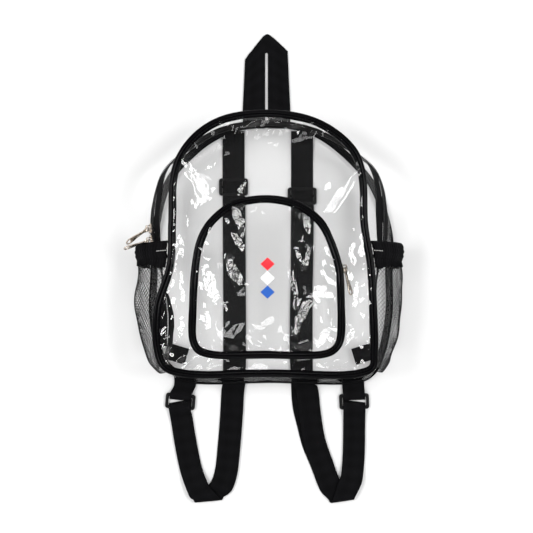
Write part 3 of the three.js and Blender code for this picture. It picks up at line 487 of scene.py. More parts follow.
class Shape:
    """The bag's curves and surfaces from its sizes."""

    def __init__(self, scene):
        self.body = body = in_millimetres(scene.backpack_body)
        self.zips = zips = in_millimetres(scene.backpack_zips)
        self.pocket = pocket = in_millimetres(scene.backpack_pocket)
        self.webbing = webbing = in_millimetres(scene.backpack_webbing)
        self.strap_layer = webbing.wall + GAP
        self.back_underside = BAR_ROOM + self.strap_layer + 2 * GAP
        self.back_seam = self.back_underside + body.piping_height / 2
        self.front_seam = self.back_seam + body.depth
        self.front = outline(
            LEVELS, body.front_width / 2, body.front_height, 0, 0, "front_left", "front_right"
        )
        self.back = outline(
            LEVELS, body.back_width / 2, body.back_height, -body.back_drop, body.back_shift,
            "back_left", "back_right",
        )
        self.pouch = outline(
            POCKET_LEVELS, pocket.width / 2, pocket.height, pocket.bottom, 0, "left", "right"
        )
        self.zip_start = reach(self.front, zips.low_end, "left")
        self.zip_end = reach(self.front, zips.low_end, "right")
        self.teeth_start = zips.front_strip + GAP + zips.tape + GAP
        self.second_tape = self.teeth_start + zips.teeth + GAP
        self.zip_bottom = self.second_tape + zips.tape
        low = pocket.bottom + POCKET_ZIP_LOW * pocket.height
        self.pouch_start = reach(self.pouch, low, "left")
        self.pouch_end = reach(self.pouch, low, "right")

    def seam_height(self, x, y):
        up = 2 * y / self.body.front_height - 1
        return self.front_seam - self.body.crown_dip * up * up

    def front_height(self, x, y):
        across = x / (self.body.front_width / 2)
        up = 2 * y / self.body.front_height - 1
        dome = self.body.dome * np.maximum(0, 1 - across ** 2) * np.maximum(0, 1 - up ** 2)
        return self.seam_height(x, y) + dome

    def pouch_seam_height(self, x, y):
        return self.front_height(x, y) + self.pocket.depth

    def pouch_height(self, x, y):
        across = x / (self.pocket.width / 2)
        up = 2 * (y - self.pocket.bottom) / self.pocket.height - 1
        dome = self.pocket.dome * np.maximum(0, 1 - across ** 2) * np.maximum(0, 1 - up ** 2)
        return self.pouch_seam_height(x, y) + dome

    def around(self, t, kind, bottom, crown):
        """Depth round the bag from a pair of columns, softened where one row gives way to the next."""
        rows = np.concatenate([
            [bottom], LEVELS[kind + "_left"], [crown], LEVELS[kind + "_right"][::-1], [bottom]
        ])
        places = np.arange(len(rows)) / (len(rows) - 1)
        blur = np.linspace(-LEVEL_BLUR, LEVEL_BLUR, 5)
        near = [np.interp(np.mod(t + step, 1.0), places, rows) for step in blur]
        return self.body.depth * np.mean(near, axis=0)

    def away(self, t):
        return unit(outward(self.front, t) + outward(self.back, t))

    def gusset(self, t, s, lift=0.0, folded=True):
        """Outer face of the gusset: t runs round the bag, s from the front piping, 0, to the back one, 1."""
        t, s, lift = np.broadcast_arrays(np.asarray(t, float), np.asarray(s, float), lift)
        ridge = self.body.piping_width * GUSSET_SEAM
        front = inset(self.front, t, ridge)
        back = inset(self.back, t, ridge)
        half = self.body.piping_height / 2 + GAP
        front_z = self.seam_height(front[..., 0], front[..., 1]) - half
        back_z = self.back_seam + half
        share = np.clip(s, 0, 1)
        swell = (self.around(t, "bulge", BOTTOM_BULGE, -CROWN_SAG) + lift) * np.sin(math.pi * share)
        if folded:
            swell = swell - self.around(t, "fold", 0, 0) * np.sin(math.pi * share ** FOLD_SKEW)
        flat = front * (1 - s)[..., None] + back * s[..., None] + self.away(t) * swell[..., None]
        return np.concatenate([flat, (front_z * (1 - s) + back_z * s)[..., None]], axis=-1)

    def gusset_share(self, t, distance):
        """The share across the gusset at each distance from the front piping, a row for each t."""
        stations = np.linspace(0, 1, 49)
        line = self.gusset(np.asarray(t)[:, None], stations[None, :])
        steps = np.linalg.norm(np.diff(line, axis=1), axis=-1)
        lengths = np.concatenate([np.zeros((len(t), 1)), np.cumsum(steps, axis=1)], axis=1)
        return np.stack([np.interp(distance, row, stations) for row in lengths])

    def gusset_at(self, t, distance):
        """Points of the gusset at each distance from the front piping, a row for each t."""
        return self.gusset(np.asarray(t)[:, None], self.gusset_share(t, np.atleast_1d(distance)))

    def pouch_wall(self, t, s):
        """The pocket's wall, from under its piping, 0, to the front panel, 1."""
        t, s = np.broadcast_arrays(np.asarray(t, float), np.asarray(s, float))
        seam = inset(self.pouch, t, self.pocket.piping_width * POCKET_SEAM)
        lean = self.pocket.lean * np.maximum(0, np.sin(math.pi * (np.mod(t, 1.0) - 0.25)))
        foot = seam - outward(self.pouch, t) * lean[..., None]
        seam_z = self.pouch_seam_height(seam[..., 0], seam[..., 1]) - self.pocket.piping_height / 2 - GAP
        foot_z = self.front_height(foot[..., 0], foot[..., 1]) + GAP
        flat = seam * (1 - s)[..., None] + foot * s[..., None]
        return np.concatenate([flat, (seam_z * (1 - s) + foot_z * s)[..., None]], axis=-1)


def grid_normals(grid):
    along = np.gradient(grid, axis=0)
    across = np.gradient(grid, axis=1)
    return unit(np.cross(along, across))


# Meshes

SHARP_RADIANS = 0.6


def row_points(points):
    """Points of the bag, in millimetres, in the row's frame, in metres."""
    webbing = bpy.context.scene.backpack_webbing
    shift = SLIDE_MIDDLE - Vector((webbing.left_x / MM, webbing.slide_left_y / MM, 0))
    return (np.asarray(points, float).reshape(-1, 3) + (shift.x, shift.y, 0)) * MM


def quads(rows, columns, first, wrap_rows=False, wrap_columns=False, flip=False):
    """Faces of a grid of points numbered from first."""
    i = np.arange(rows if wrap_rows else rows - 1)
    j = np.arange(columns if wrap_columns else columns - 1)
    i, j = (a.ravel() for a in np.meshgrid(i, j, indexing="ij"))
    a = first + i * columns + j
    b = first + (i + 1) % rows * columns + j
    c = first + (i + 1) % rows * columns + (j + 1) % columns
    d = first + i * columns + (j + 1) % columns
    faces = np.stack([a, b, c, d], axis=1)
    return (faces[:, ::-1] if flip else faces).tolist()


def lengths_along(line):
    """Distance from the start of a line of points to each of them."""
    steps = np.linalg.norm(np.diff(line, axis=0), axis=-1)
    return np.concatenate([[0], np.cumsum(steps)])


def shell(outer, wall, normals=None):
    """Closed body of even thickness under a grid of points. Returns points, faces and surface places."""
    normals = grid_normals(outer) if normals is None else normals
    inner = outer - normals * wall
    rows, columns = outer.shape[:2]
    count = rows * columns
    along, across = lengths_along(outer[:, columns // 2]), lengths_along(outer[rows // 2])
    place = np.stack(np.meshgrid(along, across, indexing="ij"), axis=-1).reshape(-1, 2)
    faces = quads(rows, columns, 0) + quads(rows, columns, count, flip=True)
    first_column, first_row = np.arange(rows) * columns, np.arange(columns)
    for edge in (first_column, first_column + columns - 1, first_row, first_row + (rows - 1) * columns):
        faces += [[int(a), int(b), int(b) + count, int(a) + count] for a, b in zip(edge[:-1], edge[1:])]
    return np.vstack([outer.reshape(-1, 3), inner.reshape(-1, 3)]), faces, np.vstack([place, place])


def tube(sections, closed=False):
    """Closed body through sections, each a ring of points in order round it."""
    sections = np.asarray(sections, float)
    rows, columns = sections.shape[:2]
    faces = quads(rows, columns, 0, wrap_rows=closed, wrap_columns=True)
    if not closed:
        faces += [list(range(columns)), list(range((rows - 1) * columns, rows * columns))]
    along, round_it = lengths_along(sections.mean(axis=1)), lengths_along(sections[rows // 2])
    place = np.stack(np.meshgrid(along, round_it, indexing="ij"), axis=-1).reshape(-1, 2)
    return sections.reshape(-1, 3), faces, place


def disc(edge, middle, height, wall, rings):
    """Closed sheet that fills an outline in rings round its middle."""
    count = len(edge)
    shares = np.linspace(0, 1, rings + 1)[1:]
    flat = np.vstack([[middle], (middle + shares[:, None, None] * (edge - middle)).reshape(-1, 2)])
    top = height(flat[:, 0], flat[:, 1])
    points = np.vstack([np.column_stack([flat, top]), np.column_stack([flat, top - wall])])
    under = len(flat)
    faces = quads(rings, count, 1, wrap_columns=True)
    faces += quads(rings, count, under + 1, wrap_columns=True, flip=True)
    rim = 1 + (rings - 1) * count
    for i in range(count):
        j = (i + 1) % count
        faces += [[0, 1 + i, 1 + j], [under, under + 1 + j, under + 1 + i]]
        faces.append([rim + i, rim + j, under + rim + j, under + rim + i])
    return points, faces, np.vstack([flat, flat])


def prism(flat, low, high, bevel, segments=2, holes=()):
    """Body of a flat outline with holes between two heights, its sharp edges rounded."""
    solid = bmesh.new()
    edges = []
    for loop in (flat, *holes):
        corners = [solid.verts.new((x, y, low)) for x, y in loop]
        edges += [solid.edges.new((corners[i - 1], corners[i])) for i in range(len(corners))]
    filled = bmesh.ops.triangle_fill(solid, use_beauty=True, use_dissolve=True, edges=edges)
    faces = [g for g in filled["geom"] if isinstance(g, bmesh.types.BMFace)]
    raised = bmesh.ops.extrude_face_region(solid, geom=faces)
    for vertex in raised["geom"]:
        if isinstance(vertex, bmesh.types.BMVert):
            vertex.co.z = high
    bmesh.ops.recalc_face_normals(solid, faces=solid.faces)
    sharp = [e for e in solid.edges if len(e.link_faces) == 2 and e.calc_face_angle(0) > SHARP_RADIANS]
    bmesh.ops.bevel(solid, geom=sharp, offset=bevel, segments=segments, affect="EDGES", profile=0.5)
    solid.verts.index_update()
    points = np.array([v.co[:] for v in solid.verts])
    faces = [[v.index for v in f.verts] for f in solid.faces]
    solid.free()
    return points, faces, points[:, :2].copy()


def merged(chunks):
    points, faces, places, first = [], [], [], 0
    for chunk_points, chunk_faces, chunk_places in chunks:
        points.append(chunk_points)
        places.append(chunk_places)
        faces += [[first + i for i in face] for face in chunk_faces]
        first += len(chunk_points)
    return np.vstack(points), faces, np.vstack(places)


def new_object(name, data):
    obj = bpy.data.objects.new(name, data)
    bpy.context.scene.collection.objects.link(obj)
    return obj


def mesh_from(name, chunks, sharp_degrees):
    """Mesh in the row's frame from chunks of points, faces and surface places."""
    points, faces, places = merged(chunks)
    mesh = bpy.data.meshes.new(name)
    mesh.from_pydata(row_points(points).tolist(), [], faces)
    layer = mesh.uv_layers.new(name="Surface")
    corners = np.empty(len(mesh.loops), np.int32)
    mesh.loops.foreach_get("vertex_index", corners)
    layer.data.foreach_set("uv", (places[corners] * MM).astype(np.float32).ravel())
    fix = bmesh.new()
    fix.from_mesh(mesh)
    bmesh.ops.recalc_face_normals(fix, faces=fix.faces)
    fix.to_mesh(mesh)
    fix.free()
    mesh.polygons.foreach_set("use_smooth", np.ones(len(mesh.polygons), bool))
    mesh.set_sharp_from_angle(angle=math.radians(sharp_degrees))
    mesh.update()
    return mesh


def settle(obj, material, nodes=()):
    """Gives a finished piece its material and its body, and hides the nodes that it stands for."""
    obj.data.materials.clear()
    obj.data.materials.append(material)
    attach(obj, "root")
    if nodes:
        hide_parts(*nodes)
    return obj


def piece(name, chunks, material, nodes=(), sharp_degrees=38):
    """Finished piece whose mesh is made of chunks, with edges sharper than an angle left sharp."""
    return settle(new_object(name, mesh_from(name, chunks, sharp_degrees)), material, nodes)


# Node trees

def add(tree, kind, *links, **settings):
    """Adds a node with its settings and links. A setting that starts with "in_" is an input by its number or
    name, and a link is (input, output socket)."""
    node = tree.nodes.new(kind)
    for key, value in settings.items():
        if key.startswith("in_"):
            key = key[3:]
            node.inputs[int(key) if key.isdigit() else key.replace("_", " ")].default_value = value
        else:
            setattr(node, key, value)
    for target, source in links:
        tree.links.new(source, node.inputs[target])
    return node


def tree_inputs(tree, *sockets):
    """Adds named inputs to a geometry tree. Returns its input node and the identifier of each by name."""
    tree.interface.new_socket("Geometry", in_out="INPUT", socket_type="NodeSocketGeometry")
    tree.interface.new_socket("Geometry", in_out="OUTPUT", socket_type="NodeSocketGeometry")
    names = {}
    for name, kind in sockets:
        names[name] = tree.interface.new_socket(name, in_out="INPUT", socket_type=kind).identifier
    return add(tree, "NodeGroupInput"), names


def row_tree():
    """Geometry tree that sets a small rounded part at each point, its length along the point's direction."""
    tree = bpy.data.node_groups.new("Row of Small Parts", "GeometryNodeTree")
    source, names = tree_inputs(tree, ("Size", "NodeSocketVector"), ("Material", "NodeSocketMaterial"))
    ball = add(tree, "GeometryNodeMeshUVSphere", in_Segments=7, in_Rings=5, in_Radius=0.5)
    sized = add(
        tree, "GeometryNodeTransform", ("Geometry", ball.outputs["Mesh"]), ("Scale", source.outputs["Size"])
    )
    along = add(tree, "GeometryNodeInputNamedAttribute", data_type="FLOAT_VECTOR", in_Name="along")
    away = add(tree, "GeometryNodeInputNamedAttribute", data_type="FLOAT_VECTOR", in_Name="away")
    turn = add(
        tree, "FunctionNodeAxesToRotation", (0, along.outputs[0]), (1, away.outputs[0]),
        primary_axis="X", secondary_axis="Z",
    )
    placed = add(
        tree, "GeometryNodeInstanceOnPoints", ("Points", source.outputs["Geometry"]),
        ("Instance", sized.outputs[0]), ("Rotation", turn.outputs[0]),
    )
    real = add(tree, "GeometryNodeRealizeInstances", ("Geometry", placed.outputs[0]))
    soft = add(tree, "GeometryNodeSetShadeSmooth", ("Geometry", real.outputs[0]))
    finished = add(
        tree, "GeometryNodeSetMaterial", ("Geometry", soft.outputs[0]),
        ("Material", source.outputs["Material"]),
    )
    add(tree, "NodeGroupOutput", ("Geometry", finished.outputs[0]))
    return tree, names


def strand_tree():
    """Geometry tree that turns lines of edges into strands of a net."""
    tree = bpy.data.node_groups.new("Net Strands", "GeometryNodeTree")
    source, names = tree_inputs(tree, ("Radius", "NodeSocketFloat"), ("Material", "NodeSocketMaterial"))
    lines = add(tree, "GeometryNodeMeshToCurve", ("Mesh", source.outputs["Geometry"]))
    ring = add(
        tree, "GeometryNodeCurvePrimitiveCircle", ("Radius", source.outputs["Radius"]), in_Resolution=4
    )
    strands = add(
        tree, "GeometryNodeCurveToMesh", ("Curve", lines.outputs[0]), ("Profile Curve", ring.outputs[0]),
        in_Fill_Caps=True,
    )
    soft = add(tree, "GeometryNodeSetShadeSmooth", ("Geometry", strands.outputs[0]))
    real = add(tree, "GeometryNodeRealizeInstances", ("Geometry", soft.outputs[0]))
    finished = add(
        tree, "GeometryNodeSetMaterial", ("Geometry", real.outputs[0]),
        ("Material", source.outputs["Material"]),
    )
    add(tree, "NodeGroupOutput", ("Geometry", finished.outputs[0]))
    return tree, names


def grown(name, base, tree_and_names, values):
    """Plain mesh object that a geometry tree makes from a base mesh."""
    tree, names = tree_and_names
    holder = new_object(name + "_base", base)
    modifier = holder.modifiers.new("Grow", "NODES")
    modifier.node_group = tree
    for key, value in values.items():
        modifier[names[key]] = value
    depsgraph = bpy.context.evaluated_depsgraph_get()
    mesh = bpy.data.meshes.new_from_object(holder.evaluated_get(depsgraph))
    mesh.name = name
    bpy.data.objects.remove(holder)
    return new_object(name, mesh)


def row_of_parts(name, points, along, away, size, material, nodes=()):
    """Small rounded parts at points, with their lengths along and their tops away."""
    base = bpy.data.meshes.new(name + "_base")
    base.from_pydata(row_points(points).tolist(), [], [])
    for label, vectors in (("along", along), ("away", away)):
        attribute = base.attributes.new(label, "FLOAT_VECTOR", "POINT")
        attribute.data.foreach_set("vector", unit(np.asarray(vectors, float)).astype(np.float32).ravel())
    values = {"Size": [side * MM for side in size], "Material": material}
    return settle(grown(name, base, row_tree(), values), material, nodes)


def spaced(line, pitch):
    """Evenly spaced points on a line, and the direction of the line at each."""
    lengths = lengths_along(line)
    places = np.arange(pitch / 2, lengths[-1], pitch)

    def at(distance):
        return np.stack([np.interp(distance, lengths, line[:, k]) for k in range(3)], axis=-1)

    return at(places), at(places + 0.3) - at(places - 0.3), places / lengths[-1]


# Materials

def new_material(name):
    material = bpy.data.materials.new(name)
    material.use_nodes = True
    material.node_tree.nodes.clear()
    return material, material.node_tree


def clear_vinyl(tint):
    """Clear calendered PVC film: plain to see through, tinted a little by its thickness, with a wet gloss that
    small wrinkles break into streaks."""
    material, tree = new_material("Clear calendered vinyl")
    place = add(tree, "ShaderNodeTexCoord").outputs["Object"]
    # Wrinkles left by packing, about 18 mm apart and longer up the bag, and creases 10 mm apart in them
    stretch = add(tree, "ShaderNodeMapping", ("Vector", place), in_Scale=(1.0, 0.55, 1.0)).outputs[0]
    wrinkles = add(
        tree, "ShaderNodeTexNoise", ("Vector", stretch),
        in_Scale=55, in_Detail=2.0, in_Roughness=0.45, in_Distortion=0.9,
    ).outputs[0]
    creases = add(
        tree, "ShaderNodeTexVoronoi", ("Vector", place), feature="SMOOTH_F1", in_Scale=95, in_Smoothness=0.55
    ).outputs[0]
    coarse = add(
        tree, "ShaderNodeBump", ("Height", wrinkles), in_Strength=0.8, in_Distance=0.75 * MM
    ).outputs[0]
    wavy = add(
        tree, "ShaderNodeBump", ("Height", creases), ("Normal", coarse),
        in_Strength=0.3, in_Distance=0.45 * MM,
    ).outputs[0]
    # Pressed patches: facets whose lean is kept in the mesh, with an edge ragged every 7 mm, veins every 5 mm
    press = add(tree, "ShaderNodeAttribute", attribute_name="Press").outputs["Vector"]
    reach_in = add(tree, "ShaderNodeVectorMath", (0, press), operation="LENGTH").outputs["Value"]
    ragged = add(tree, "ShaderNodeTexNoise", ("Vector", place), in_Scale=150, in_Detail=1.0).outputs[0]
    edge = add(
        tree, "ShaderNodeMath", (0, ragged), (2, reach_in), operation="MULTIPLY_ADD", in_1=0.7
    ).outputs[0]
    pressed_here = add(
        tree, "ShaderNodeMapRange", ("Value", edge),
        in_From_Min=0.83, in_From_Max=0.87, in_To_Min=0.0, in_To_Max=1.0,
    ).outputs[0]
    veins = add(
        tree, "ShaderNodeTexNoise", ("Vector", place), in_Scale=190, in_Detail=1.0, in_Distortion=1.6
    ).outputs[1]
    veins = add(
        tree, "ShaderNodeVectorMath", (0, veins), operation="SUBTRACT", in_1=(0.5, 0.5, 0.5)
    ).outputs[0]
    lean = add(tree, "ShaderNodeVectorMath", (0, press), operation="NORMALIZE").outputs[0]
    facet = add(
        tree, "ShaderNodeVectorMath", (0, veins), (2, lean), operation="MULTIPLY_ADD", in_1=(0.7, 0.7, 0.0)
    ).outputs[0]
    turned_way = add(
        tree, "ShaderNodeMix", (0, pressed_here), (4, wavy), (5, facet), data_type="VECTOR"
    ).outputs[1]
    surface = add(tree, "ShaderNodeVectorMath", (0, turned_way), operation="NORMALIZE").outputs[0]
    facing = add(tree, "ShaderNodeLayerWeight", ("Normal", surface), in_Blend=0.5).outputs["Facing"]
    grazing = add(tree, "ShaderNodeMath", (0, facing), operation="POWER", in_1=4.0).outputs[0]
    mirror = add(
        tree, "ShaderNodeMath", (0, grazing), operation="MULTIPLY_ADD", in_1=0.06, in_2=0.02
    ).outputs[0]
    through = add(tree, "ShaderNodeBsdfTransparent", in_Color=tint)
    gloss = add(
        tree, "ShaderNodeBsdfGlossy", ("Normal", surface), in_Color=(1, 1, 1, 1), in_Roughness=0.035
    )
    mixed = add(tree, "ShaderNodeMixShader", (0, mirror), (1, through.outputs[0]), (2, gloss.outputs[0]))
    add(tree, "ShaderNodeOutputMaterial", ("Surface", mixed.outputs[0]))
    return material


def glossy_binding(tint):
    """Black extruded vinyl binding over a cord: a smooth skin, with a bright line of gloss on each ridge that
    slow ripples about 11 mm apart break."""
    material, tree = new_material("Glossy vinyl binding")
    place = add(tree, "ShaderNodeTexCoord").outputs["Object"]
    ripples = add(tree, "ShaderNodeTexNoise", ("Vector", place), in_Scale=90, in_Detail=1.0).outputs[0]
    surface = add(
        tree, "ShaderNodeBump", ("Height", ripples), in_Strength=0.3, in_Distance=0.3 * MM
    ).outputs[0]
    wear = add(
        tree, "ShaderNodeMapRange", ("Value", ripples),
        in_From_Min=0.3, in_From_Max=0.7, in_To_Min=0.12, in_To_Max=0.2,
    ).outputs[0]
    skin = add(
        tree, "ShaderNodeBsdfPrincipled", ("Normal", surface), ("Roughness", wear),
        in_Base_Color=tint, in_IOR=1.52, in_Specular_IOR_Level=0.05,
    )
    add(tree, "ShaderNodeOutputMaterial", ("Surface", skin.outputs[0]))
    return material


def woven(name, tint, step_mm, roughness, depth_mm, ribs=0.5):
    """Woven black polyester or polypropylene: matt threads that cross, with a painted highlight that colours
    the crests of the ribs paler, as where light rakes them. One thread is too fine to show, so a fuzz about 1
    mm fine stands for it, on soft ribs 2 pi steps apart that stand for the groups of threads."""
    material, tree = new_material(name)
    place = add(tree, "ShaderNodeUVMap", uv_map="Surface").outputs[0]
    # The wave node counts 20 radians for each unit of its scale
    scale = 1 / (step_mm * MM) / 20
    along = add(
        tree, "ShaderNodeTexWave", ("Vector", place), bands_direction="X", wave_profile="SIN",
        in_Scale=scale, in_Distortion=0.6, in_Detail=1.0, in_Detail_Scale=2.0,
    ).outputs[1]
    across = add(
        tree, "ShaderNodeTexWave", ("Vector", place), bands_direction="Y", wave_profile="SIN",
        in_Scale=scale, in_Distortion=0.3,
    ).outputs[1]
    crossed = add(tree, "ShaderNodeMix", (2, along), (3, across), in_0=ribs, data_type="FLOAT").outputs[0]
    fuzz = add(tree, "ShaderNodeTexNoise", ("Vector", place), in_Scale=900, in_Detail=2.0).outputs[0]
    surface = add(
        tree, "ShaderNodeBump", ("Height", crossed), in_Strength=0.8, in_Distance=depth_mm * MM
    ).outputs[0]
    surface = add(
        tree, "ShaderNodeBump", ("Height", fuzz), ("Normal", surface),
        in_Strength=0.4, in_Distance=0.1 * MM,
    ).outputs[0]
    # Painted highlight: the colour turns paler on the crests of the ribs, as though lit there
    painted_rib_highlight = tuple(min(1, c * 1.8) for c in tint[:3]) + (1,)
    shade = add(tree, "ShaderNodeMix", (0, crossed), data_type="RGBA", in_6=tint, in_7=painted_rib_highlight).outputs[2]
    cloth = add(
        tree, "ShaderNodeBsdfPrincipled", ("Base Color", shade), ("Normal", surface),
        in_Roughness=roughness, in_Sheen_Weight=0.008, in_Sheen_Roughness=0.4, in_Specular_IOR_Level=0.03,
    )
    add(tree, "ShaderNodeOutputMaterial", ("Surface", cloth.outputs[0]))
    return material


def plain_fibre(name, tint, roughness):
    """Spun thread or coil: satin filament with a little unevenness in its tone, every 2 mm or so."""
    material, tree = new_material(name)
    place = add(tree, "ShaderNodeTexCoord").outputs["Object"]
    uneven = add(tree, "ShaderNodeTexNoise", ("Vector", place), in_Scale=420, in_Detail=1.0).outputs[0]
    dark = tuple(c * 0.6 for c in tint[:3]) + (1,)
    shade = add(tree, "ShaderNodeMix", (0, uneven), data_type="RGBA", in_6=dark, in_7=tint).outputs[2]
    fibre = add(
        tree, "ShaderNodeBsdfPrincipled", ("Base Color", shade),
        in_Roughness=roughness, in_Sheen_Weight=0.02, in_Specular_IOR_Level=0.12,
    )
    add(tree, "ShaderNodeOutputMaterial", ("Surface", fibre.outputs[0]))
    return material


def moulded_acetal(tint):
    """Injection-moulded acetal: even black with a spark-eroded skin and soft broad highlights. Its grain is
    drawn 0.7 mm coarse, so that it shows."""
    material, tree = new_material("Moulded acetal")
    place = add(tree, "ShaderNodeTexCoord").outputs["Object"]
    grain = add(tree, "ShaderNodeTexNoise", ("Vector", place), in_Scale=1500, in_Detail=2.0).outputs[0]
    surface = add(
        tree, "ShaderNodeBump", ("Height", grain), in_Strength=0.5, in_Distance=0.08 * MM
    ).outputs[0]
    polish = add(
        tree, "ShaderNodeMapRange", ("Value", grain),
        in_From_Min=0.3, in_From_Max=0.7, in_To_Min=0.34, in_To_Max=0.5,
    ).outputs[0]
    skin = add(
        tree, "ShaderNodeBsdfPrincipled", ("Normal", surface), ("Roughness", polish),
        in_Base_Color=tint, in_IOR=1.48, in_Specular_IOR_Level=0.12,
    )
    add(tree, "ShaderNodeOutputMaterial", ("Surface", skin.outputs[0]))
    return material


def plated_zinc(tint):
    """Die-cast zinc with warm nickel plating: a mirror with fine rubs where it is handled."""
    material, tree = new_material("Nickel-plated zinc")
    place = add(tree, "ShaderNodeTexCoord").outputs["Object"]
    rubs = add(
        tree, "ShaderNodeTexNoise", ("Vector", place), in_Scale=700, in_Detail=3.0, in_Distortion=0.5
    ).outputs[0]
    surface = add(
        tree, "ShaderNodeBump", ("Height", rubs), in_Strength=0.35, in_Distance=0.08 * MM
    ).outputs[0]
    polish = add(
        tree, "ShaderNodeMapRange", ("Value", rubs),
        in_From_Min=0.3, in_From_Max=0.7, in_To_Min=0.16, in_To_Max=0.34,
    ).outputs[0]
    skin = add(
        tree, "ShaderNodeBsdfPrincipled", ("Normal", surface), ("Roughness", polish),
        in_Base_Color=tint, in_Metallic=1.0,
    )
    add(tree, "ShaderNodeOutputMaterial", ("Surface", skin.outputs[0]))
    return material


def printed_ink(name, tint):
    """Screen-printed ink on vinyl: a flat satin film with a faint orange peel."""
    material, tree = new_material(name)
    place = add(tree, "ShaderNodeTexCoord").outputs["Object"]
    peel = add(tree, "ShaderNodeTexNoise", ("Vector", place), in_Scale=500, in_Detail=1.0).outputs[0]
    surface = add(
        tree, "ShaderNodeBump", ("Height", peel), in_Strength=0.3, in_Distance=0.05 * MM
    ).outputs[0]
    skin = add(
        tree, "ShaderNodeBsdfPrincipled", ("Normal", surface),
        in_Base_Color=tint, in_Roughness=0.32, in_IOR=1.5,
    )
    add(tree, "ShaderNodeOutputMaterial", ("Surface", skin.outputs[0]))
    return material


def paper(tint):
    """Seamless studio paper: even matt white."""
    material, tree = new_material("Studio paper")
    place = add(tree, "ShaderNodeTexCoord").outputs["Object"]
    fibre = add(tree, "ShaderNodeTexNoise", ("Vector", place), in_Scale=300, in_Detail=1.0).outputs[0]
    surface = add(
        tree, "ShaderNodeBump", ("Height", fibre), in_Strength=0.2, in_Distance=0.02 * MM
    ).outputs[0]
    skin = add(
        tree, "ShaderNodeBsdfPrincipled", ("Normal", surface),
        in_Base_Color=tint, in_Roughness=0.9, in_Specular_IOR_Level=0.1,
    )
    add(tree, "ShaderNodeOutputMaterial", ("Surface", skin.outputs[0]))
    return material


MAKERS = {
    "sheet": lambda c: clear_vinyl(c["sheet"]),
    "binding": lambda c: glossy_binding(c["binding"]),
    "tape": lambda c: woven("Woven zip tape", c["tape"], 2.2, 0.7, 0.15),
    "elastic": lambda c: woven("Ribbed elastic", c["tape"], 2.6, 0.75, 0.3, ribs=0.85),
    "webbing": lambda c: woven("Polypropylene webbing", c["webbing"], 2.4, 0.62, 0.22, ribs=0.4),
    "coil": lambda c: plain_fibre("Nylon coil", c["tape"], 0.35),
    "net": lambda c: plain_fibre("Polyester net", c["net"], 0.55),
    "black_thread": lambda c: plain_fibre("Black thread", c["net"], 0.5),
    "white_thread": lambda c: plain_fibre("White thread", linear("D8D8D6"), 0.5),
    "moulded": lambda c: moulded_acetal(c["moulded"]),
    "metal": lambda c: plated_zinc(c["metal"]),
    "upper_ink": lambda c: printed_ink("Upper ink", c["emblem_upper"]),
    "middle_ink": lambda c: printed_ink("Middle ink", c["emblem_middle"]),
    "lower_ink": lambda c: printed_ink("Lower ink", c["emblem_lower"]),
    "paper": lambda c: paper(c["floor"]),
}
MADE = {}


def material(name):
    """The named material, made when it is first asked for."""
    if name not in MADE:
        colours = bpy.context.scene.backpack_colours
        tints = {key: (*getattr(colours, key), 1.0) for key in colours.__annotations__}
        MADE[name] = MAKERS[name](tints)
    return MADE[name]


# Pieces of the bag

def clear_sheet(name, chunk, node):
    return piece(name, [chunk], material("sheet"), [node])


def edge_share(x, y, width, bottom, height):
    """How near each point is to a panel's edge: 0 in its middle, 1 at its sides, top and bottom."""
    return np.max(np.abs([x / (width / 2), 2 * (y - bottom) / height - 1]), axis=0)


def puckers(x, y, near_edge, seed):
    """Small gathers where a sheet is sewn into its binding, strongest at the edge."""
    return 0.9 * ripple(x, y, 13, seed) * near_edge


def pressed(obj, rows):
    """Keeps the lean of the pressed patches of a table in a sheet's mesh, weaker towards their edges."""
    mesh = obj.data
    places = np.empty(len(mesh.vertices) * 3, np.float32)
    mesh.vertices.foreach_get("co", places)
    places = (places.reshape(-1, 3) - row_points([(0, 0, 0)])[0]) / MM
    leans, strongest = np.zeros(places.shape), np.zeros(len(places))
    for i in range(len(rows["x"])):
        across = places[:, :2] - (rows["x"][i], rows["y"][i])
        along = unit(np.array([rows["axis_x"][i], rows["axis_y"][i]]))
        run = (across @ along) / rows["long"][i] / PRESS_SIZE
        side = (across @ np.array([-along[1], along[0]])) / rows["wide"][i] / PRESS_SIZE
        strength = np.clip(1 - 0.5 * np.hypot(run, side), 0, 1)
        lean = np.tan(np.radians([rows["lean"][i], PRESS_RISE - PRESS_FALL * rows["y"][i], 45]))
        here = strength > strongest
        strongest[here] = strength[here]
        leans[here] = unit(lean) * strength[here, None]
    layer = mesh.attributes.new("Press", "FLOAT_VECTOR", "POINT")
    layer.data.foreach_set("vector", leans.astype(np.float32).ravel())
    return obj


def front_panel(shape):
    body = shape.body
    edge = inset(shape.front, np.linspace(0, 1, 400, endpoint=False), body.piping_width - SHEET_TUCK)
    middle = np.array([0, body.front_height * 0.45])

    def height(x, y):
        share = edge_share(x, y, body.front_width, 0, body.front_height)
        inside = smooth((1 - share) / 0.12)
        soft = 0.55 * ripple(x, y, 70, 3) + 0.22 * ripple(x, y, 26, 4)
        gathers = puckers(x, y, smooth((share - 0.72) / 0.2) * inside, 5)
        return shape.front_height(x, y) + inside * (soft + folds(x, y, FRONT_FOLDS)) + gathers

    sheet = disc(edge, middle, height, body.sheet_wall, 64)
    return pressed(clear_sheet("front_sheet", sheet, "front_panel"), FRONT_PRESSES)


def back_panel(shape):
    body = shape.body
    edge = inset(shape.back, np.linspace(0, 1, 320, endpoint=False), body.piping_width - SHEET_TUCK)
    middle = np.array([body.back_shift, body.back_height * 0.45 - body.back_drop])
    top = shape.back_underside + 1

    def height(x, y):
        return top + 0.25 * (1 + ripple(x, y, 60, 6)) + 0.12 * (1 + ripple(x, y, 24, 7))

    sheet = disc(edge, middle, height, body.sheet_wall, 40)
    return clear_sheet("back_sheet", sheet, "back_panel")


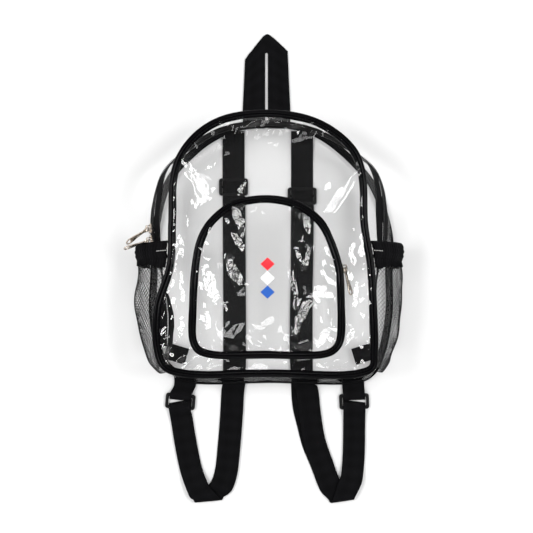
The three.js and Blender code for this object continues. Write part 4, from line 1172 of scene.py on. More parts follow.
def piping(name, node, curve, height_at, width, height, seed):
    """Binding sewn over a cord: a round ridge outside, a groove, and a flat fold inside."""
    t = np.linspace(0, 1, 640, endpoint=False)
    radius, groove, fold_rise = height / 2, height - 0.35, 0.62
    crown = np.linspace(math.pi, 0.32, 9)
    over = [(radius + radius * math.cos(a), radius * math.sin(a)) for a in crown]
    inner = [
        (groove + (width - groove) * u, fold_rise + fold_rise * math.sin(math.pi * min(1, u * 0.8 + 0.12)))
        for u in np.linspace(0.12, 1, 6)
    ]
    under = [(x, -z * 0.8) for x, z in reversed(over[1:-1] + inner)]
    edge = curve(t)
    sway = 0.25 * ripple(edge[:, 0], edge[:, 1], 45, seed)
    lift = 0.3 * ripple(edge[:, 0], edge[:, 1], 30, seed + 1)
    ring = []
    for share, rise in over + inner + under:
        flat = inset(curve, t, share + sway * (share / width))
        base = height_at(flat[:, 0], flat[:, 1])
        ring.append(np.column_stack([flat, base + rise + lift * (share / width) ** 2]))
    sections = np.stack(ring, axis=1)
    return piece(name, [tube(sections, closed=True)], material("binding"), [node], 60)


def bindings(shape):
    body = shape.body
    width, height = body.piping_width, body.piping_height
    piping("front_binding", "front_piping", shape.front, shape.seam_height, width, height, 60)
    binding_stitches("front_binding_stitches", shape.front, shape.seam_height, width)
    piping("back_binding", "back_piping", shape.back, lambda x, _: shape.back_seam + 0 * x, width, height, 65)


def binding_stitches(name, curve, height_at, width, pitch=3.4):
    """Row of black stitches along the flat fold of a binding."""
    t = np.linspace(0, 1, 900)
    flat = inset(curve, t, np.full(t.shape, width * 0.72))
    line = np.column_stack([flat, height_at(flat[:, 0], flat[:, 1]) + 1.3])
    points, along, _ = spaced(line, pitch)
    away = np.tile([0, 0, 1.0], (len(points), 1))
    row_of_parts(name, points, along, away, (pitch * 0.72, 0.5, 0.5), material("black_thread"))


def gusset_strip(shape, name, node, start, end, wrinkle, seed):
    """Clear strip of the gusset between two distances from the front piping, or up to the back piping."""
    t = np.linspace(shape.zip_start, shape.zip_end, ZIP_STEPS)
    starts = shape.gusset_share(t, np.array([start]))
    ends = 1.0 if end is None else shape.gusset_share(t, np.array([end]))
    steps = np.linspace(0, 1, 14)
    s = starts * (1 - steps) + ends * steps
    grid = shape.gusset(t[:, None], s)
    normals = grid_normals(grid)
    around = np.linalg.norm(grid[..., :2], axis=-1) + grid[..., 0]
    depth = wrinkle * ripple(around, grid[..., 2], 34, seed) * np.sin(math.pi * s) ** 0.5
    return clear_sheet(name, shell(grid + normals * depth[..., None], shape.body.sheet_wall, normals), node)


def gusset_strips(shape):
    overlap, end_gap = 1.5, 0.0006
    gusset_strip(shape, "front_strip_sheet", "gusset_front_strip", 0, shape.zips.front_strip + overlap, 0.3, 11)
    gusset_strip(shape, "rear_strip_sheet", "gusset_rear_strip", shape.zip_bottom - overlap, None, 0.7, 12)
    around = np.linspace(shape.zip_end + end_gap, shape.zip_start + 1 - end_gap, 260)
    s = np.linspace(0, 1, 26)
    grid = shape.gusset(around[:, None], s[None, :])
    normals = grid_normals(grid)
    x, z = grid[..., 0], grid[..., 2]
    depth = 0.9 * ripple(x, z, 40, 13) + 0.3 * ripple(x, z, 15, 14)
    grid = grid + normals * (depth * np.sin(math.pi * s)[None, :] ** 0.5)[..., None]
    clear_sheet("bottom_sheet", shell(grid, shape.body.sheet_wall, normals), "gusset_bottom")


def main_zip(shape):
    zips = shape.zips
    t = np.linspace(shape.zip_start, shape.zip_end, ZIP_STEPS)
    front = zips.front_strip + GAP
    under_teeth = 1.2
    tapes = (
        ("front", front, front + zips.tape + under_teeth),
        ("rear", shape.second_tape - under_teeth, shape.zip_bottom),
    )
    for which, start, end in tapes:
        grid = shape.gusset_at(t, np.linspace(start, end, 8))
        normals = grid_normals(grid)
        grid = grid + normals * 0.12 * ripple(grid[..., 0], grid[..., 1], 20, 20)[..., None]
        piece(f"zip_tape_{which}", [shell(grid, zips.tape_wall, normals)], material("tape"),
              [f"main_zip_tape_{which}"])
    middle = shape.teeth_start + zips.teeth / 2
    coil_rows("zip_coil", "main_zip_teeth",
              lambda offset: shape.gusset_at(t, np.array([middle + offset, middle + offset + 0.5])),
              zips.teeth, zips.tooth_pitch)
    stitches = shape.gusset_at(t, np.array([front + 1.6, front + 2.1]))
    points, along, _ = spaced(stitches[:, 0], 3.2)
    normals = np.stack([np.interp(np.linspace(0, 1, len(points)), np.linspace(0, 1, len(t)), n)
                        for n in grid_normals(stitches)[:, 0].T], axis=-1)
    row_of_parts("zip_tape_stitches", points + unit(normals) * 0.15, along, normals, (2.3, 0.5, 0.5),
                 material("black_thread"))


def coil_rows(name, node, line_at, width, pitch):
    """Two rows of coil turns that mesh along the middle of a zip."""
    row_half, crest = 0.22, 0.55
    points, along, away = [], [], []
    for side in (-1, 1):
        pair = line_at(side * width * row_half)
        line, across = pair[:, 0], pair[:, 1] - pair[:, 0]
        places, heading, shares = spaced(line, pitch)
        index = np.linspace(0, 1, len(line))
        width_way = np.stack([np.interp(shares, index, unit(across)[:, k]) for k in range(3)], axis=-1)
        normal = unit(np.cross(unit(heading), width_way))
        if side > 0:
            places = places + unit(heading) * pitch / 2
        points.append(places + normal * crest)
        along.append(width_way)
        away.append(normal)
    row_of_parts(name, np.vstack(points), np.vstack(along), np.vstack(away),
                 (width * 0.56, pitch * 0.62, 1.5), material("coil"), [node])


def pocket_sheet_height(shape, x, y):
    size = shape.pocket
    share = edge_share(x, y, size.width, size.bottom, size.height)
    inside = smooth((1 - share) / 0.16)
    soft = 0.5 * ripple(x, y, 48, 8) + 0.25 * ripple(x, y, 19, 9)
    gathers = puckers(x, y, smooth((share - 0.66) / 0.25) * inside, 10)
    return shape.pouch_height(x, y) + inside * (soft + folds(x, y, POCKET_FOLDS)) + gathers


def pocket(shape):
    size, wall = shape.pocket, shape.body.sheet_wall
    edge = inset(shape.pouch, np.linspace(0, 1, 340, endpoint=False), size.piping_width - POCKET_SHEET_TUCK)
    middle = np.array([0, size.bottom + size.height * 0.45])
    sheet = disc(edge, middle, lambda x, y: pocket_sheet_height(shape, x, y), wall, 60)
    pressed(clear_sheet("pocket_sheet", sheet, "pocket_panel"), POCKET_PRESSES)
    piping("pocket_binding", "pocket_piping", shape.pouch, shape.pouch_seam_height, size.piping_width,
           size.piping_height, 70)
    binding_stitches("pocket_binding_stitches", shape.pouch, shape.pouch_seam_height, size.piping_width)

    # The wall's zip: an outer tape, the coil in the middle and a tape at the foot
    t = np.linspace(shape.pouch_start, shape.pouch_end, 260)
    run = size.depth - size.piping_height / 2 - 2 * GAP
    teeth = POCKET_TEETH_WIDTH / run
    start, overlap = 0.5 - teeth / 2, 0.03
    for which, low, high in (("outer", 0, start + overlap), ("base", start + teeth - overlap, 1)):
        grid = shape.pouch_wall(t[:, None], np.linspace(low, high, 7)[None, :])
        piece(f"pocket_tape_{which}", [shell(grid, shape.zips.tape_wall)], material("tape"),
              [f"pocket_zip_tape_{which}"])

    def teeth_line(offset):
        return shape.pouch_wall(t[:, None], np.array([[0.5 + offset / run, 0.52 + offset / run]]))

    coil_rows("pocket_coil", "pocket_zip_teeth", teeth_line, POCKET_TEETH_WIDTH, POCKET_TOOTH_PITCH)
    below = np.linspace(shape.pouch_end + 0.001, shape.pouch_start + 0.999, 150)
    grid = shape.pouch_wall(below[:, None], np.linspace(0, 1, 8)[None, :])
    clear_sheet("pocket_base_sheet", shell(grid, wall), "pocket_base_strip")


# Net pockets

NET_BOTTOM = 12.0
NET_ARCH = 2.9
NET_CLEARANCE = 1.85
NET_ACROSS = 96.0
NET_RIPPLES = {"left": 30, "right": 31}
HEM_INSIDE = 2.2
HEM_WALL = 2.4
SKIRT_WALL = 0.7


def net_surface(shape, side):
    """The net's surface, as a function of the share up it and across the gusset, and the ends of its hem."""
    pocket = shape.pocket
    top = reach(shape.front, pocket.net_top, side)
    bottom = reach(shape.front, NET_BOTTOM, side)
    hem_top = reach(shape.front, pocket.net_top + pocket.hem_width, side)

    def point(share, s, extra):
        share, s = np.broadcast_arrays(np.asarray(share, float), np.asarray(s, float))
        t = bottom + (top - bottom) * share
        # Fullest high up, and drawn to the hem at its top
        fullness = np.sin(math.pi * (0.02 + 0.58 * np.clip(share, 0, 1))) ** 0.6
        blend = np.clip((share - 0.85) / 0.15, 0, 1) * 0.8
        lift = pocket.net_bulge * fullness * (1 - blend) + pocket.hem_bulge * blend
        sway = 1.3 * ripple(share * 128, s * 90, 42, NET_RIPPLES[side])
        lift = lift + sway * smooth(share / 0.2)
        clear = NET_ARCH * np.sin(math.pi * s) + NET_CLEARANCE + extra
        grid = shape.gusset(t, s, lift, folded=False)
        grid[..., :2] += shape.away(t) * clear[..., None]
        return grid

    return point, top, hem_top


def net_pocket(shape, side):
    """Net of two sets of slanting strands that cross at every hole. The real mesh is about half as wide and too
    fine to show, so this one is drawn coarser."""
    point, _, _ = net_surface(shape, side)
    size = shape.pocket
    half = size.net_mesh / 2
    columns, rows = int(NET_ACROSS / half), int((size.net_top - NET_BOTTOM) / (half * 0.8))
    lines = []
    for lean in (1, -1):
        for start in range(-rows, columns + rows, 2):
            j = np.arange(rows + 1)
            i = start + lean * j
            keep = (i >= 0) & (i <= columns)
            if keep.sum() < 2:
                continue
            s = 0.01 + 0.98 * i[keep] / columns
            share = 0.995 * j[keep] / rows
            wave = 0.14 * lean * np.where(j[keep] % 2, 1, -1)
            lines.append(point(share, s, wave))
    points = np.vstack(lines)
    edges, first = [], 0
    for line in lines:
        edges += [(first + k, first + k + 1) for k in range(len(line) - 1)]
        first += len(line)
    base = bpy.data.meshes.new("net_base")
    base.from_pydata(row_points(points).tolist(), edges, [])
    values = {"Radius": size.strand / 2 * MM, "Material": material("net")}
    net = grown(f"net_{side}", base, strand_tree(), values)
    return settle(net, material("net"), [f"mesh_pocket_{side}"])


def net_hem(shape, side):
    """Elastic hem with three ribs, gathered into small pleats, with a skirt of bunched net below it."""
    point, top, hem_top = net_surface(shape, side)
    size = shape.pocket
    flip = 1 if side == "left" else -1
    s = np.linspace(0.01, 0.99, 170)
    arch = NET_ARCH * np.sin(math.pi * s)[None, :]

    share = np.linspace(0, 1, 30)
    t = top + (hem_top - top) * share
    pleat = 0.3 * np.sin(s * 2 * math.pi * 26 + 0.8 * ripple(s * 90, s * 0, 30, 33))
    grid = shape.gusset(t[:, None], s[None, :], size.hem_bulge, folded=False)
    round_it = np.sin(math.pi * share) ** 0.55
    ribs = 0.4 * np.cos(share * 2 * math.pi * 3.5) * np.sin(math.pi * share)
    clear = arch + HEM_INSIDE + (2.2 * round_it + ribs)[:, None] + pleat * round_it[:, None]
    grid[..., :2] += shape.away(t)[:, None, :] * clear[..., None]
    band = shell(grid, HEM_WALL * flip)

    depth = np.linspace(1, 0, 14)[:, None]
    ragged = (0.012 + 0.05 * (1 - s) ** 1.5 + 0.012 * (1 + ripple(s * 90, s * 0, 16, 34)))[None, :]
    bunches = np.sin(s * 2 * math.pi * 31 + 1.2 * ripple(s * 90, s * 0, 25, 35))[None, :]
    ruffle = 0.9 + 0.7 * bunches * (0.4 + depth)
    skirt = shell(point(1.0 - depth * ragged, s[None, :], ruffle), SKIRT_WALL * flip)
    piece(f"hem_{side}", [band, skirt], material("elastic"), [f"mesh_hem_{side}"])

    # Short row of white stitches at the front end of the hem
    marks = np.linspace(0.0, 0.1, 6)
    level = np.full(len(marks), top + (hem_top - top) * 0.44)
    place = shape.gusset(level, marks, size.hem_bulge, folded=False)
    away = shape.away(level)
    place[:, :2] += away * (NET_ARCH * np.sin(math.pi * marks) + 4.9)[:, None]
    along = np.gradient(place, axis=0)
    row_of_parts(f"hem_stitches_{side}", place, along, np.column_stack([away, np.zeros(len(marks))]),
                 (2.2, 0.8, 0.6), material("white_thread"))


# Webbing

def ribbon(stations, wall, steps=6):
    """Webbing with rounded, slightly raised edges through stations of a middle and half its width."""
    stations = np.array([[*centre, *half] for centre, half in stations])
    count = len(stations)
    smoothed = spline(stations, closed=False)(np.linspace(0, 1, (count - 1) * steps + 1))
    middle, half = smoothed[:, :3], smoothed[:, 3:]
    along = unit(np.gradient(middle, axis=0))
    up = unit(np.cross(along, half))
    radius = wall / 2
    length_way = np.linalg.norm(half, axis=-1)
    rises = ((0.0, 0.5), (0.5, 0.5), (0.87, 0.42), (0.91, 0.5))
    flat = [(share, 0.0, rise * wall) for share, rise in rises]
    edge = [(1.0, -radius + math.sin(a) * radius, math.cos(a) * radius) for a in np.linspace(0, math.pi, 7)]
    half_profile = flat + edge + [(share, shift, -rise) for share, shift, rise in reversed(flat)][:-1]
    other = [(-share, -shift, rise) for share, shift, rise in reversed(half_profile[1:])]
    under_middle = [(0.0, 0.0, -0.5 * wall)]
    section = half_profile + under_middle + other
    outward_way = unit(half)
    ring = []
    for share, shift, rise in section:
        reach_out = share * length_way + shift
        ring.append(middle + outward_way * reach_out[:, None] + up * rise)
    return tube(np.stack(ring, axis=1))


def ring_frame(side):
    """Where a ring lies: its middle and turn, and the ways across it and down the page."""
    x, y, degrees = LOOP_ROUTES[side].ring
    turn = math.radians(degrees)
    across = np.array([math.cos(turn), math.sin(turn), 0])
    down = np.array([math.sin(turn), -math.cos(turn), 0])
    return SimpleNamespace(across=across, down=down, middle=np.array([x, y, 0.0]), turn=turn)


def turn_round_bar(shape, frame, direction, over_first, slack=1.0, tilt=0.0):
    """Stations of webbing that turns back round one bar of a ring, with a slack and slanting bight."""
    webbing = shape.webbing
    bar_inner = webbing.ring_height / 2 - webbing.ring_bar
    low = webbing.wall / 2
    high = webbing.wall + RING_WALL + 2 * GAP + webbing.wall / 2
    radius = (high - low) / 2
    points = [(bar_inner + webbing.ring_bar, low)]
    for angle in np.radians(np.linspace(-90, 90, 5)):
        reach_in = bar_inner - GAP - math.cos(angle) * (radius - 0.3) * slack
        points.append((reach_in, (low + high) / 2 + math.sin(angle) * radius))
    points.append((bar_inner + webbing.ring_bar, high))
    if over_first:
        points.reverse()
    straight = frame.across * webbing.width / 2
    stations = []
    for reach_in, z in points:
        lean = direction * tilt * (reach_in < bar_inner)
        stations.append((frame.middle + direction * reach_in + np.array([0, 0, z]), straight + lean))
    return stations


def strap_stations(shape, side):
    """One strap: from the top of the back, over the slide's middle bar, out below the bag, round the fold and
    the ring's bar, and back up on itself to the slide."""
    webbing = shape.webbing
    left = side == "left"
    x = webbing.left_x if left else webbing.right_x
    slide_y = webbing.slide_left_y if left else webbing.slide_right_y
    route = LOOP_ROUTES[side]
    frame = ring_frame(side)
    square = np.array([webbing.width / 2, 0, 0])
    rest = webbing.wall / 2
    sewn = shape.back_underside - GAP - webbing.wall / 2
    over_bar = rest + MIDDLE_BAR_HEIGHT + 0.1 + GAP
    slide_half = webbing.slide_height / 2
    slot = slide_half - SLIDE_BAR

    def station(y, z):
        return np.array([x, y, z]), square

    down = [
        station(webbing.top, sewn), station(webbing.top - 12, sewn), station(webbing.top - 30, rest),
        station(slide_y + slide_half, rest), station(slide_y + slot - 1, rest),
        station(slide_y + 1.6, over_bar), station(slide_y - 1.6, over_bar),
        station(slide_y - slot + 1, rest), station(slide_y - slide_half, rest),
        station(webbing.exit, rest),
    ]

    def plan(rows):
        across = x + (frame.middle[0] - x) * rows["across"]
        return np.column_stack([across, webbing.exit - webbing.loop_drop * rows["down"]])

    inner, back, outer = plan(route.inner), plan(route.back), plan(route.outer)
    fold = np.array([x + (frame.middle[0] - x) * route.fold, webbing.exit - webbing.loop_drop])
    fold_half = np.array([*route.fold_half, 0]) * webbing.fold_width / 29.5
    start = np.array([x, webbing.exit])
    ring_side = (frame.middle + frame.down * (webbing.ring_height / 2 + 12))[:2]
    to_fold, away_from_fold = (0, 0, 0, 0, 0.3), (0.3, 0, 0, 0, 0)

    def limb(points, heights, before, after, leaning=to_fold):
        """Stations along one limb, square to its way but for those that lean towards the fold's slant."""
        ends = np.vstack([[before], points, [after]])
        heading = unit(ends[2:] - ends[:-2])
        halves = np.column_stack([-heading[:, 1], heading[:, 0], np.zeros(len(points))]) * webbing.width / 2
        halves = np.where(halves[:, :1] < 0, -halves, halves)
        lean = np.array(leaning)[:, None]
        halves = halves * (1 - lean) + fold_half * lean
        return [(np.array([*point, z]), half) for point, z, half in zip(points, heights, halves)]

    layers = [rest + shape.strap_layer * i for i in range(4)]
    low, second, third, top = layers
    outside = (top - low) / 2

    def fold_over(low, high):
        """Stations round the fold, which swings out a little to the side of the strap's ring."""
        radius = (high - low) / 2
        sway = -2.2 if left else 2.2
        return [
            (np.array([fold[0] + math.sin(a) * sway, fold[1] + outside - math.cos(a) * radius,
                       (low + high) / 2 + math.sin(a) * radius]), fold_half)
            for a in np.radians(np.linspace(-90, 90, 5))
        ]

    first_outer = limb(outer, [top, top, second, second, second], fold, ring_side, away_from_fold)
    last_outer = limb(outer, [third, third, low, low, low], fold, ring_side, away_from_fold)[::-1]
    last_inner = limb(back, [second] * 5, start, fold)[::-1]
    back_up = [station(webbing.exit, second), station(slide_y - slide_half - GAP, second)]
    beside = np.array([1.0, 0, 0])
    returning = [(centre + beside, half) for centre, half in last_inner + back_up]
    return [
        *down, *limb(inner, [low] * 5, start, fold), *fold_over(low, top), *first_outer,
        *turn_round_bar(shape, frame, frame.down, True, *route.bight),
        *last_outer, *fold_over(second, third)[::-1], *returning,
    ]


def stub_stations(shape, side):
    """The short webbing from the bag's corner round the ring's upper bar and back."""
    webbing = shape.webbing
    frame = ring_frame(side)
    x = LOOP_ROUTES[side].stub_x
    half = np.array([webbing.width / 2, 0, 0])
    low = webbing.wall / 2
    high = low + shape.strap_layer
    tucked, edge = STUB_TOP, -shape.body.back_drop - 3
    return [
        (np.array([x, tucked, low]), half), (np.array([x, edge, low]), half),
        *turn_round_bar(shape, frame, -frame.down, False, 1.6),
        (np.array([x, edge, high]), half), (np.array([x, tucked, high]), half),
    ]


def rounded_rectangle(width, height, radius, steps=5):
    angles = np.linspace(0, math.pi / 2, steps)
    corners = [(1, 1, 0), (-1, 1, 1), (-1, -1, 2), (1, -1, 3)]
    points = []
    for sx, sy, quarter in corners:
        for angle in angles + quarter * math.pi / 2:
            points.append((sx * (width / 2 - radius) + radius * math.cos(angle),
                           sy * (height / 2 - radius) + radius * math.sin(angle)))
    return points


def moved(chunk, matrix):
    points, faces, places = chunk
    return points @ matrix[:3, :3].T + matrix[:3, 3], faces, places


def turned_about_z(angle, place):
    matrix = np.eye(4)
    matrix[:2, :2] = [[math.cos(angle), -math.sin(angle)], [math.sin(angle), math.cos(angle)]]
    matrix[:3, 3] = place
    return matrix


def straps(shape):
    wall = shape.webbing.wall
    for side in SIDES:
        piece(f"strap_{side}", [ribbon(strap_stations(shape, side), wall)], material("webbing"),
              [f"shoulder_strap_{side}"], 60)
        piece(f"stub_{side}", [ribbon(stub_stations(shape, side), wall)], material("webbing"),
              [f"strap_stub_{side}"], 60)


def corner_patches(shape):
    """Webbing patches sewn with a box and a slanting line of stitches."""
    body, wall = shape.body, shape.webbing.wall
    patch_y, patch_half, tilt, box_x, box_y = 19, 19 / 2, 17, 10, 7
    corners = np.array([
        (-box_x, -box_y, 0), (box_x, -box_y, 0), (box_x, box_y, 0), (-box_x, box_y, 0), (-box_x, -box_y, 0),
        (box_x, box_y, 0),
    ], float)
    shares = np.linspace(0, 1, 12, endpoint=False)[:, None]
    line = np.vstack([a + (b - a) * shares for a, b in zip(corners[:-1], corners[1:])])
    line[:, 2] = wall / 2 + 0.1
    for side, sign, indent in (("left", -1, 31.5), ("right", 1, 33)):
        x = body.back_shift + sign * (body.back_width / 2 - indent)
        z = shape.back_seam + 0.3 * body.piping_height + 2 * GAP + wall / 2
        frame = turned_about_z(math.radians(tilt * sign), (x, patch_y, z))
        half = np.array([0, patch_half, 0])
        stations = [(np.array([u, 0, 0]), half) for u in np.linspace(-12.7, 12.7, 4)]
        patch = moved(ribbon(stations, wall), frame)
        piece(f"corner_patch_{side}", [patch], material("webbing"), [f"corner_anchor_{side}"], 60)
        points, along, _ = spaced(line @ frame[:3, :3].T + frame[:3, 3], 2.6)
        row_of_parts(f"corner_patch_stitches_{side}", points, along, np.tile([0, 0, 1.0], (len(points), 1)),
                     (2.0, 0.6, 0.5), material("black_thread"))


def moulded_parts(shape):
    webbing = shape.webbing
    bar, slot_height = webbing.ring_bar, webbing.slide_height - 2 * SLIDE_BAR
    cheek = (webbing.slide_width - webbing.width) / 2 - GAP
    base = webbing.wall + GAP
    slides = {
        "left": (webbing.left_x, webbing.slide_left_y, 0), "right": (webbing.right_x, webbing.slide_right_y, 0)
    }
    for side in SIDES:
        frame = ring_frame(side)
        rim = rounded_rectangle(webbing.ring_width, webbing.ring_height, 3.2)
        hole = rounded_rectangle(webbing.ring_width - 2 * bar, webbing.ring_height - 2 * bar, 1.6)
        ring = prism(rim, 0, RING_WALL, 0.7, 3, [hole])
        ring = moved(ring, turned_about_z(frame.turn, (*frame.middle[:2], base)))
        piece(f"ring_{side}", [ring], material("moulded"), [f"strap_ring_{side}"], 50)

        opening = rounded_rectangle(webbing.slide_width - 2 * cheek, slot_height, 1.2)
        border = rounded_rectangle(webbing.slide_width, webbing.slide_height, 3)
        chunks = [prism(border, base, base + 1.6, 0.55, 3, [opening])]
        for sign in (-1, 1):
            post = prism(rounded_rectangle(cheek - 0.2, slot_height, 0.4), 0, base + 0.8, 0.25)
            chunks.append(moved(post, turned_about_z(0, (sign * (webbing.slide_width - cheek) / 2, 0, 0))))
        middle_bar = rounded_rectangle(webbing.slide_width - cheek, 2.6, 0.5)
        chunks.append(prism(middle_bar, 0, MIDDLE_BAR_HEIGHT, 0.3))
        chunks = [moved(chunk, turned_about_z(0, slides[side])) for chunk in chunks]
        piece(f"slide_{side}", chunks, material("moulded"), [f"strap_adjuster_{side}"], 50)


def hang_loop(shape):
    """Webbing folded to a point above the bag: two limbs side by side that meet above a slit."""
    body, webbing = shape.body, shape.webbing
    wall = webbing.wall
    top = body.back_height - body.back_drop
    tip = top + webbing.loop_height
    base, bend, slit_top = top - 9, top + 12, tip - 25.5
    outer, inner, shoulder = webbing.loop_base / 2, 1.8, webbing.loop_shoulder / 2
    u = np.linspace(0, 1, 60)[:, None]
    v = np.linspace(0, 1, 15)[None, :]
    low_x = inner - 0.3 + (outer - inner + 0.3) * v
    high_x = inner + (shoulder - inner) * v
    chunks = []
    # The right limb's top slants less, as its webbing lies over the fold
    for sign, shoulder_y in ((-1, tip - 32.8), (1, tip - 23)):
        high_y = tip + (shoulder_y - tip) * v - 3.4 * np.maximum(0, 1 - v / 0.2) ** 2
        y = base + (high_y - base) * u
        part = np.clip((y - bend) / (tip - 25 - bend), 0, 1)
        closed = smooth((y - slit_top) / 2.5) * (1 - v) * 2.6
        x = low_x + (high_x - low_x) * part * v - closed
        sag = 0.35 * ripple(x + 200 * sign, y, 40, 50)
        floor = wall + 0.2 + np.maximum(0, sag) * smooth((y - bend) / 20) * smooth((tip - y) / 20)
        rise = (shape.back_underside - GAP - wall - 1.7) * (1 - smooth((y - top) / 14))
        crown = wall * (1 - np.abs(2 * v - 1) ** 10) * 0.15
        grid = np.stack([sign * x, y, floor + np.maximum(rise, 0) + crown], axis=-1)
        chunks.append(shell(grid, wall, np.zeros_like(grid) + (0, 0, 1)))
    return piece("hang_loop_webbing", chunks, material("webbing"), ["hang_loop"], 50)


# Sliders and pulls

POCKET_SLIDER_ROLL = 34


def slider_chunks():
    """Body of a zip slider with the bridge that holds its pull."""
    front, end = SLIDER_WIDTH / 2, SLIDER_LENGTH / 2
    rear = front * 0.72
    shield = [
        (-end, -rear * 0.8), (-end + 1, -rear), (0, -rear), (end * 0.5, -front), (end, -front * 0.7),
        (end * 0.82, -0.9), (end * 0.82, 0.9),
        (end, front * 0.7), (end * 0.5, front), (0, rear), (-end + 1, rear), (-end, rear * 0.8),
    ]
    loop = BRIDGE_HEIGHT + BRIDGE_SINK
    arch = rounded_rectangle(BRIDGE_LENGTH, loop, 1.5, 6)
    hole = rounded_rectangle(BRIDGE_LENGTH - 2 * BRIDGE_WALL, loop - 2 * BRIDGE_WALL, 0.8, 5)
    bridge = prism(arch, -BRIDGE_WIDTH / 2, BRIDGE_WIDTH / 2, 0.3, 2, [hole])
    upright = np.eye(4)
    upright[:3, :3] = [[1, 0, 0], [0, 0, -1], [0, 1, 0]]
    upright[2, 3] = HINGE_HEIGHT
    return [prism(shield, 0, SLIDER_WALL, 0.45, 3), moved(bridge, upright)]


def pull_chunks(shape):
    """A flat pull: a square eye, a narrow neck and a round end with a large hole."""
    zips = shape.zips
    eye, neck, far, rim = 3.3, 2.1, zips.pull_width / 2, 1.4
    far_x = zips.pull_length - far
    swelling = np.linspace(11, far_x - 1, 6)
    flat = [
        (-0.7, -eye + 0.6), (-0.1, -eye), (4.0, -eye), (4.8, -eye + 0.7), (7, -2), (9, -neck),
        *[(x, -neck - (far - neck) * smooth((x - 9) / (far_x - 10))) for x in swelling],
    ]
    other = [(x, -y) for x, y in reversed(flat)]
    flat += [(far_x + far * math.cos(a), far * math.sin(a)) for a in np.radians(np.linspace(-90, 90, 15))]
    eye_hole = [(0.6, -1.9), (3.9, -1.9), (3.9, 1.9), (0.6, 1.9)]
    far_hole = [(far_x + 0.2 + (far - rim) * math.cos(a), (far - rim) * math.sin(a))
                for a in np.radians(np.linspace(-115, 115, 17))]
    return [prism(flat + other, -PULL_WALL / 2, PULL_WALL / 2, 0.3, 3, [eye_hole, far_hole])]


def basis(x_way, z_way, place):
    """Matrix that sets X and Z along two ways and the origin at a place."""
    x = unit(x_way)
    y = unit(np.cross(z_way, x))
    frame = np.eye(4)
    frame[:3, :3] = np.column_stack([x, y, np.cross(x, y)])
    frame[:3, 3] = place
    return frame


def turned(axis, degrees):
    """Matrix that turns about one axis."""
    matrix = np.eye(4)
    c, s = math.cos(math.radians(degrees)), math.sin(math.radians(degrees))
    a, b = {"X": (1, 2), "Y": (2, 0), "Z": (0, 1)}[axis]
    matrix[a, a] = matrix[b, b] = c
    matrix[a, b], matrix[b, a] = -s, s
    return matrix


def slider_frame(surface, t, middle, teeth_height, sign, turn=0.0):
    """Frame of a slider that sits on the teeth: X along the zip, Z away from it, rolled over by turn."""
    along_t = surface(t + 1e-3, middle) - surface(t - 1e-3, middle)
    along_s = surface(t, middle + 0.5) - surface(t, middle - 0.5)
    normal = unit(np.cross(along_t, along_s))
    along = unit(sign * along_t)
    crest = surface(t, middle) + normal * TOOTH_CREST * teeth_height
    c, s = math.cos(math.radians(turn)), math.sin(math.radians(turn))
    away = normal * c + np.cross(along, normal) * s
    drop = math.sin(math.radians(abs(turn))) * SLIDER_WIDTH / 2
    low_edge = drop - (TOOTH_CREST * teeth_height if turn else 0) + GAP
    return basis(along, away, crest + away * max(GAP, low_edge / c))


def pull_frame(frame, swing, twist):
    """Frame of a pull that swings up from its slider by an angle and rolls on its length."""
    lift = np.eye(4)
    lift[2, 3] = HINGE_HEIGHT
    return frame @ lift @ turned("Y", -swing) @ turned("X", twist)


def sliders(shape):
    zips = shape.zips
    middle = shape.teeth_start + zips.teeth / 2
    run = shape.pocket.depth - shape.pocket.piping_height / 2 - 2 * GAP

    def on_gusset(t, distance):
        return shape.gusset_at(np.array([t]), np.array([distance]))[0, 0]

    def on_pocket(t, distance):
        return shape.pouch_wall(np.array([t]), np.array([distance / run]))[0]

    def on_main(y):
        return slider_frame(on_gusset, reach(shape.front, y, "left"), middle, TEETH_HEIGHT, -1)

    pocket_t = reach(shape.pouch, zips.pocket_slider_height, "right")
    # Each slider with the angles at which its pull hangs: how far it swings up, and its roll
    rows = (
        ("main_upper", "main_slider_upper", on_main(zips.slider_height), 58, 40),
        ("main_lower", "main_slider_lower", on_main(zips.slider_height - zips.slider_spacing), 80, 24),
        ("pocket", "pocket_slider",
         slider_frame(on_pocket, pocket_t, run / 2, POCKET_TEETH_HEIGHT, 1, POCKET_SLIDER_ROLL), 4, 10),
    )
    for name, node, frame, swing, roll in rows:
        body = [moved(chunk, frame) for chunk in slider_chunks()]
        piece(f"{name}_zip_slider", body, material("metal"), [node], 40)
        tab = [moved(chunk, pull_frame(frame, swing, roll)) for chunk in pull_chunks(shape)]
        piece(f"{name}_zip_pull", tab, material("metal"), [node.replace("slider", "pull")], 40)


# Small marks

EMBLEM_X = 1.0528
EMBLEM_TOP = 121.532
EMBLEM_PITCH = 14.7392
DIAMOND_HALF_X = 7.5
DIAMOND_HALF_Y = 7.0
INK_LIFT = 0.12
INK_WALL = 0.06


def emblem(shape):
    """Column of three small diamonds printed on the pocket."""
    x, y = DIAMOND_HALF_X, DIAMOND_HALF_Y
    corners = np.array([(0, y), (-x, 0), (0, -y), (x, 0)])
    shares = np.linspace(0, 1, 10, endpoint=False)[:, None]
    edge = np.vstack([a + (b - a) * shares for a, b in zip(corners, np.roll(corners, -1, axis=0))])
    for i, ink in enumerate(("upper_ink", "middle_ink", "lower_ink")):
        middle = np.array([EMBLEM_X, EMBLEM_TOP - EMBLEM_PITCH * i])
        diamond = disc(edge + middle, middle,
                       lambda x, y: pocket_sheet_height(shape, x, y) + INK_LIFT, INK_WALL, 6)
        piece(f"emblem_{ink}", [diamond], material(ink))


# Stage

CAMERA_HEIGHT = 1.3
VIEW_WIDTH = 0.6156
MODEL_VIEW_MIDDLE = (0.0, 118.9, 0.0)
FLOOR_HALF = 3.0
FLOOR_LEVEL = -0.0002

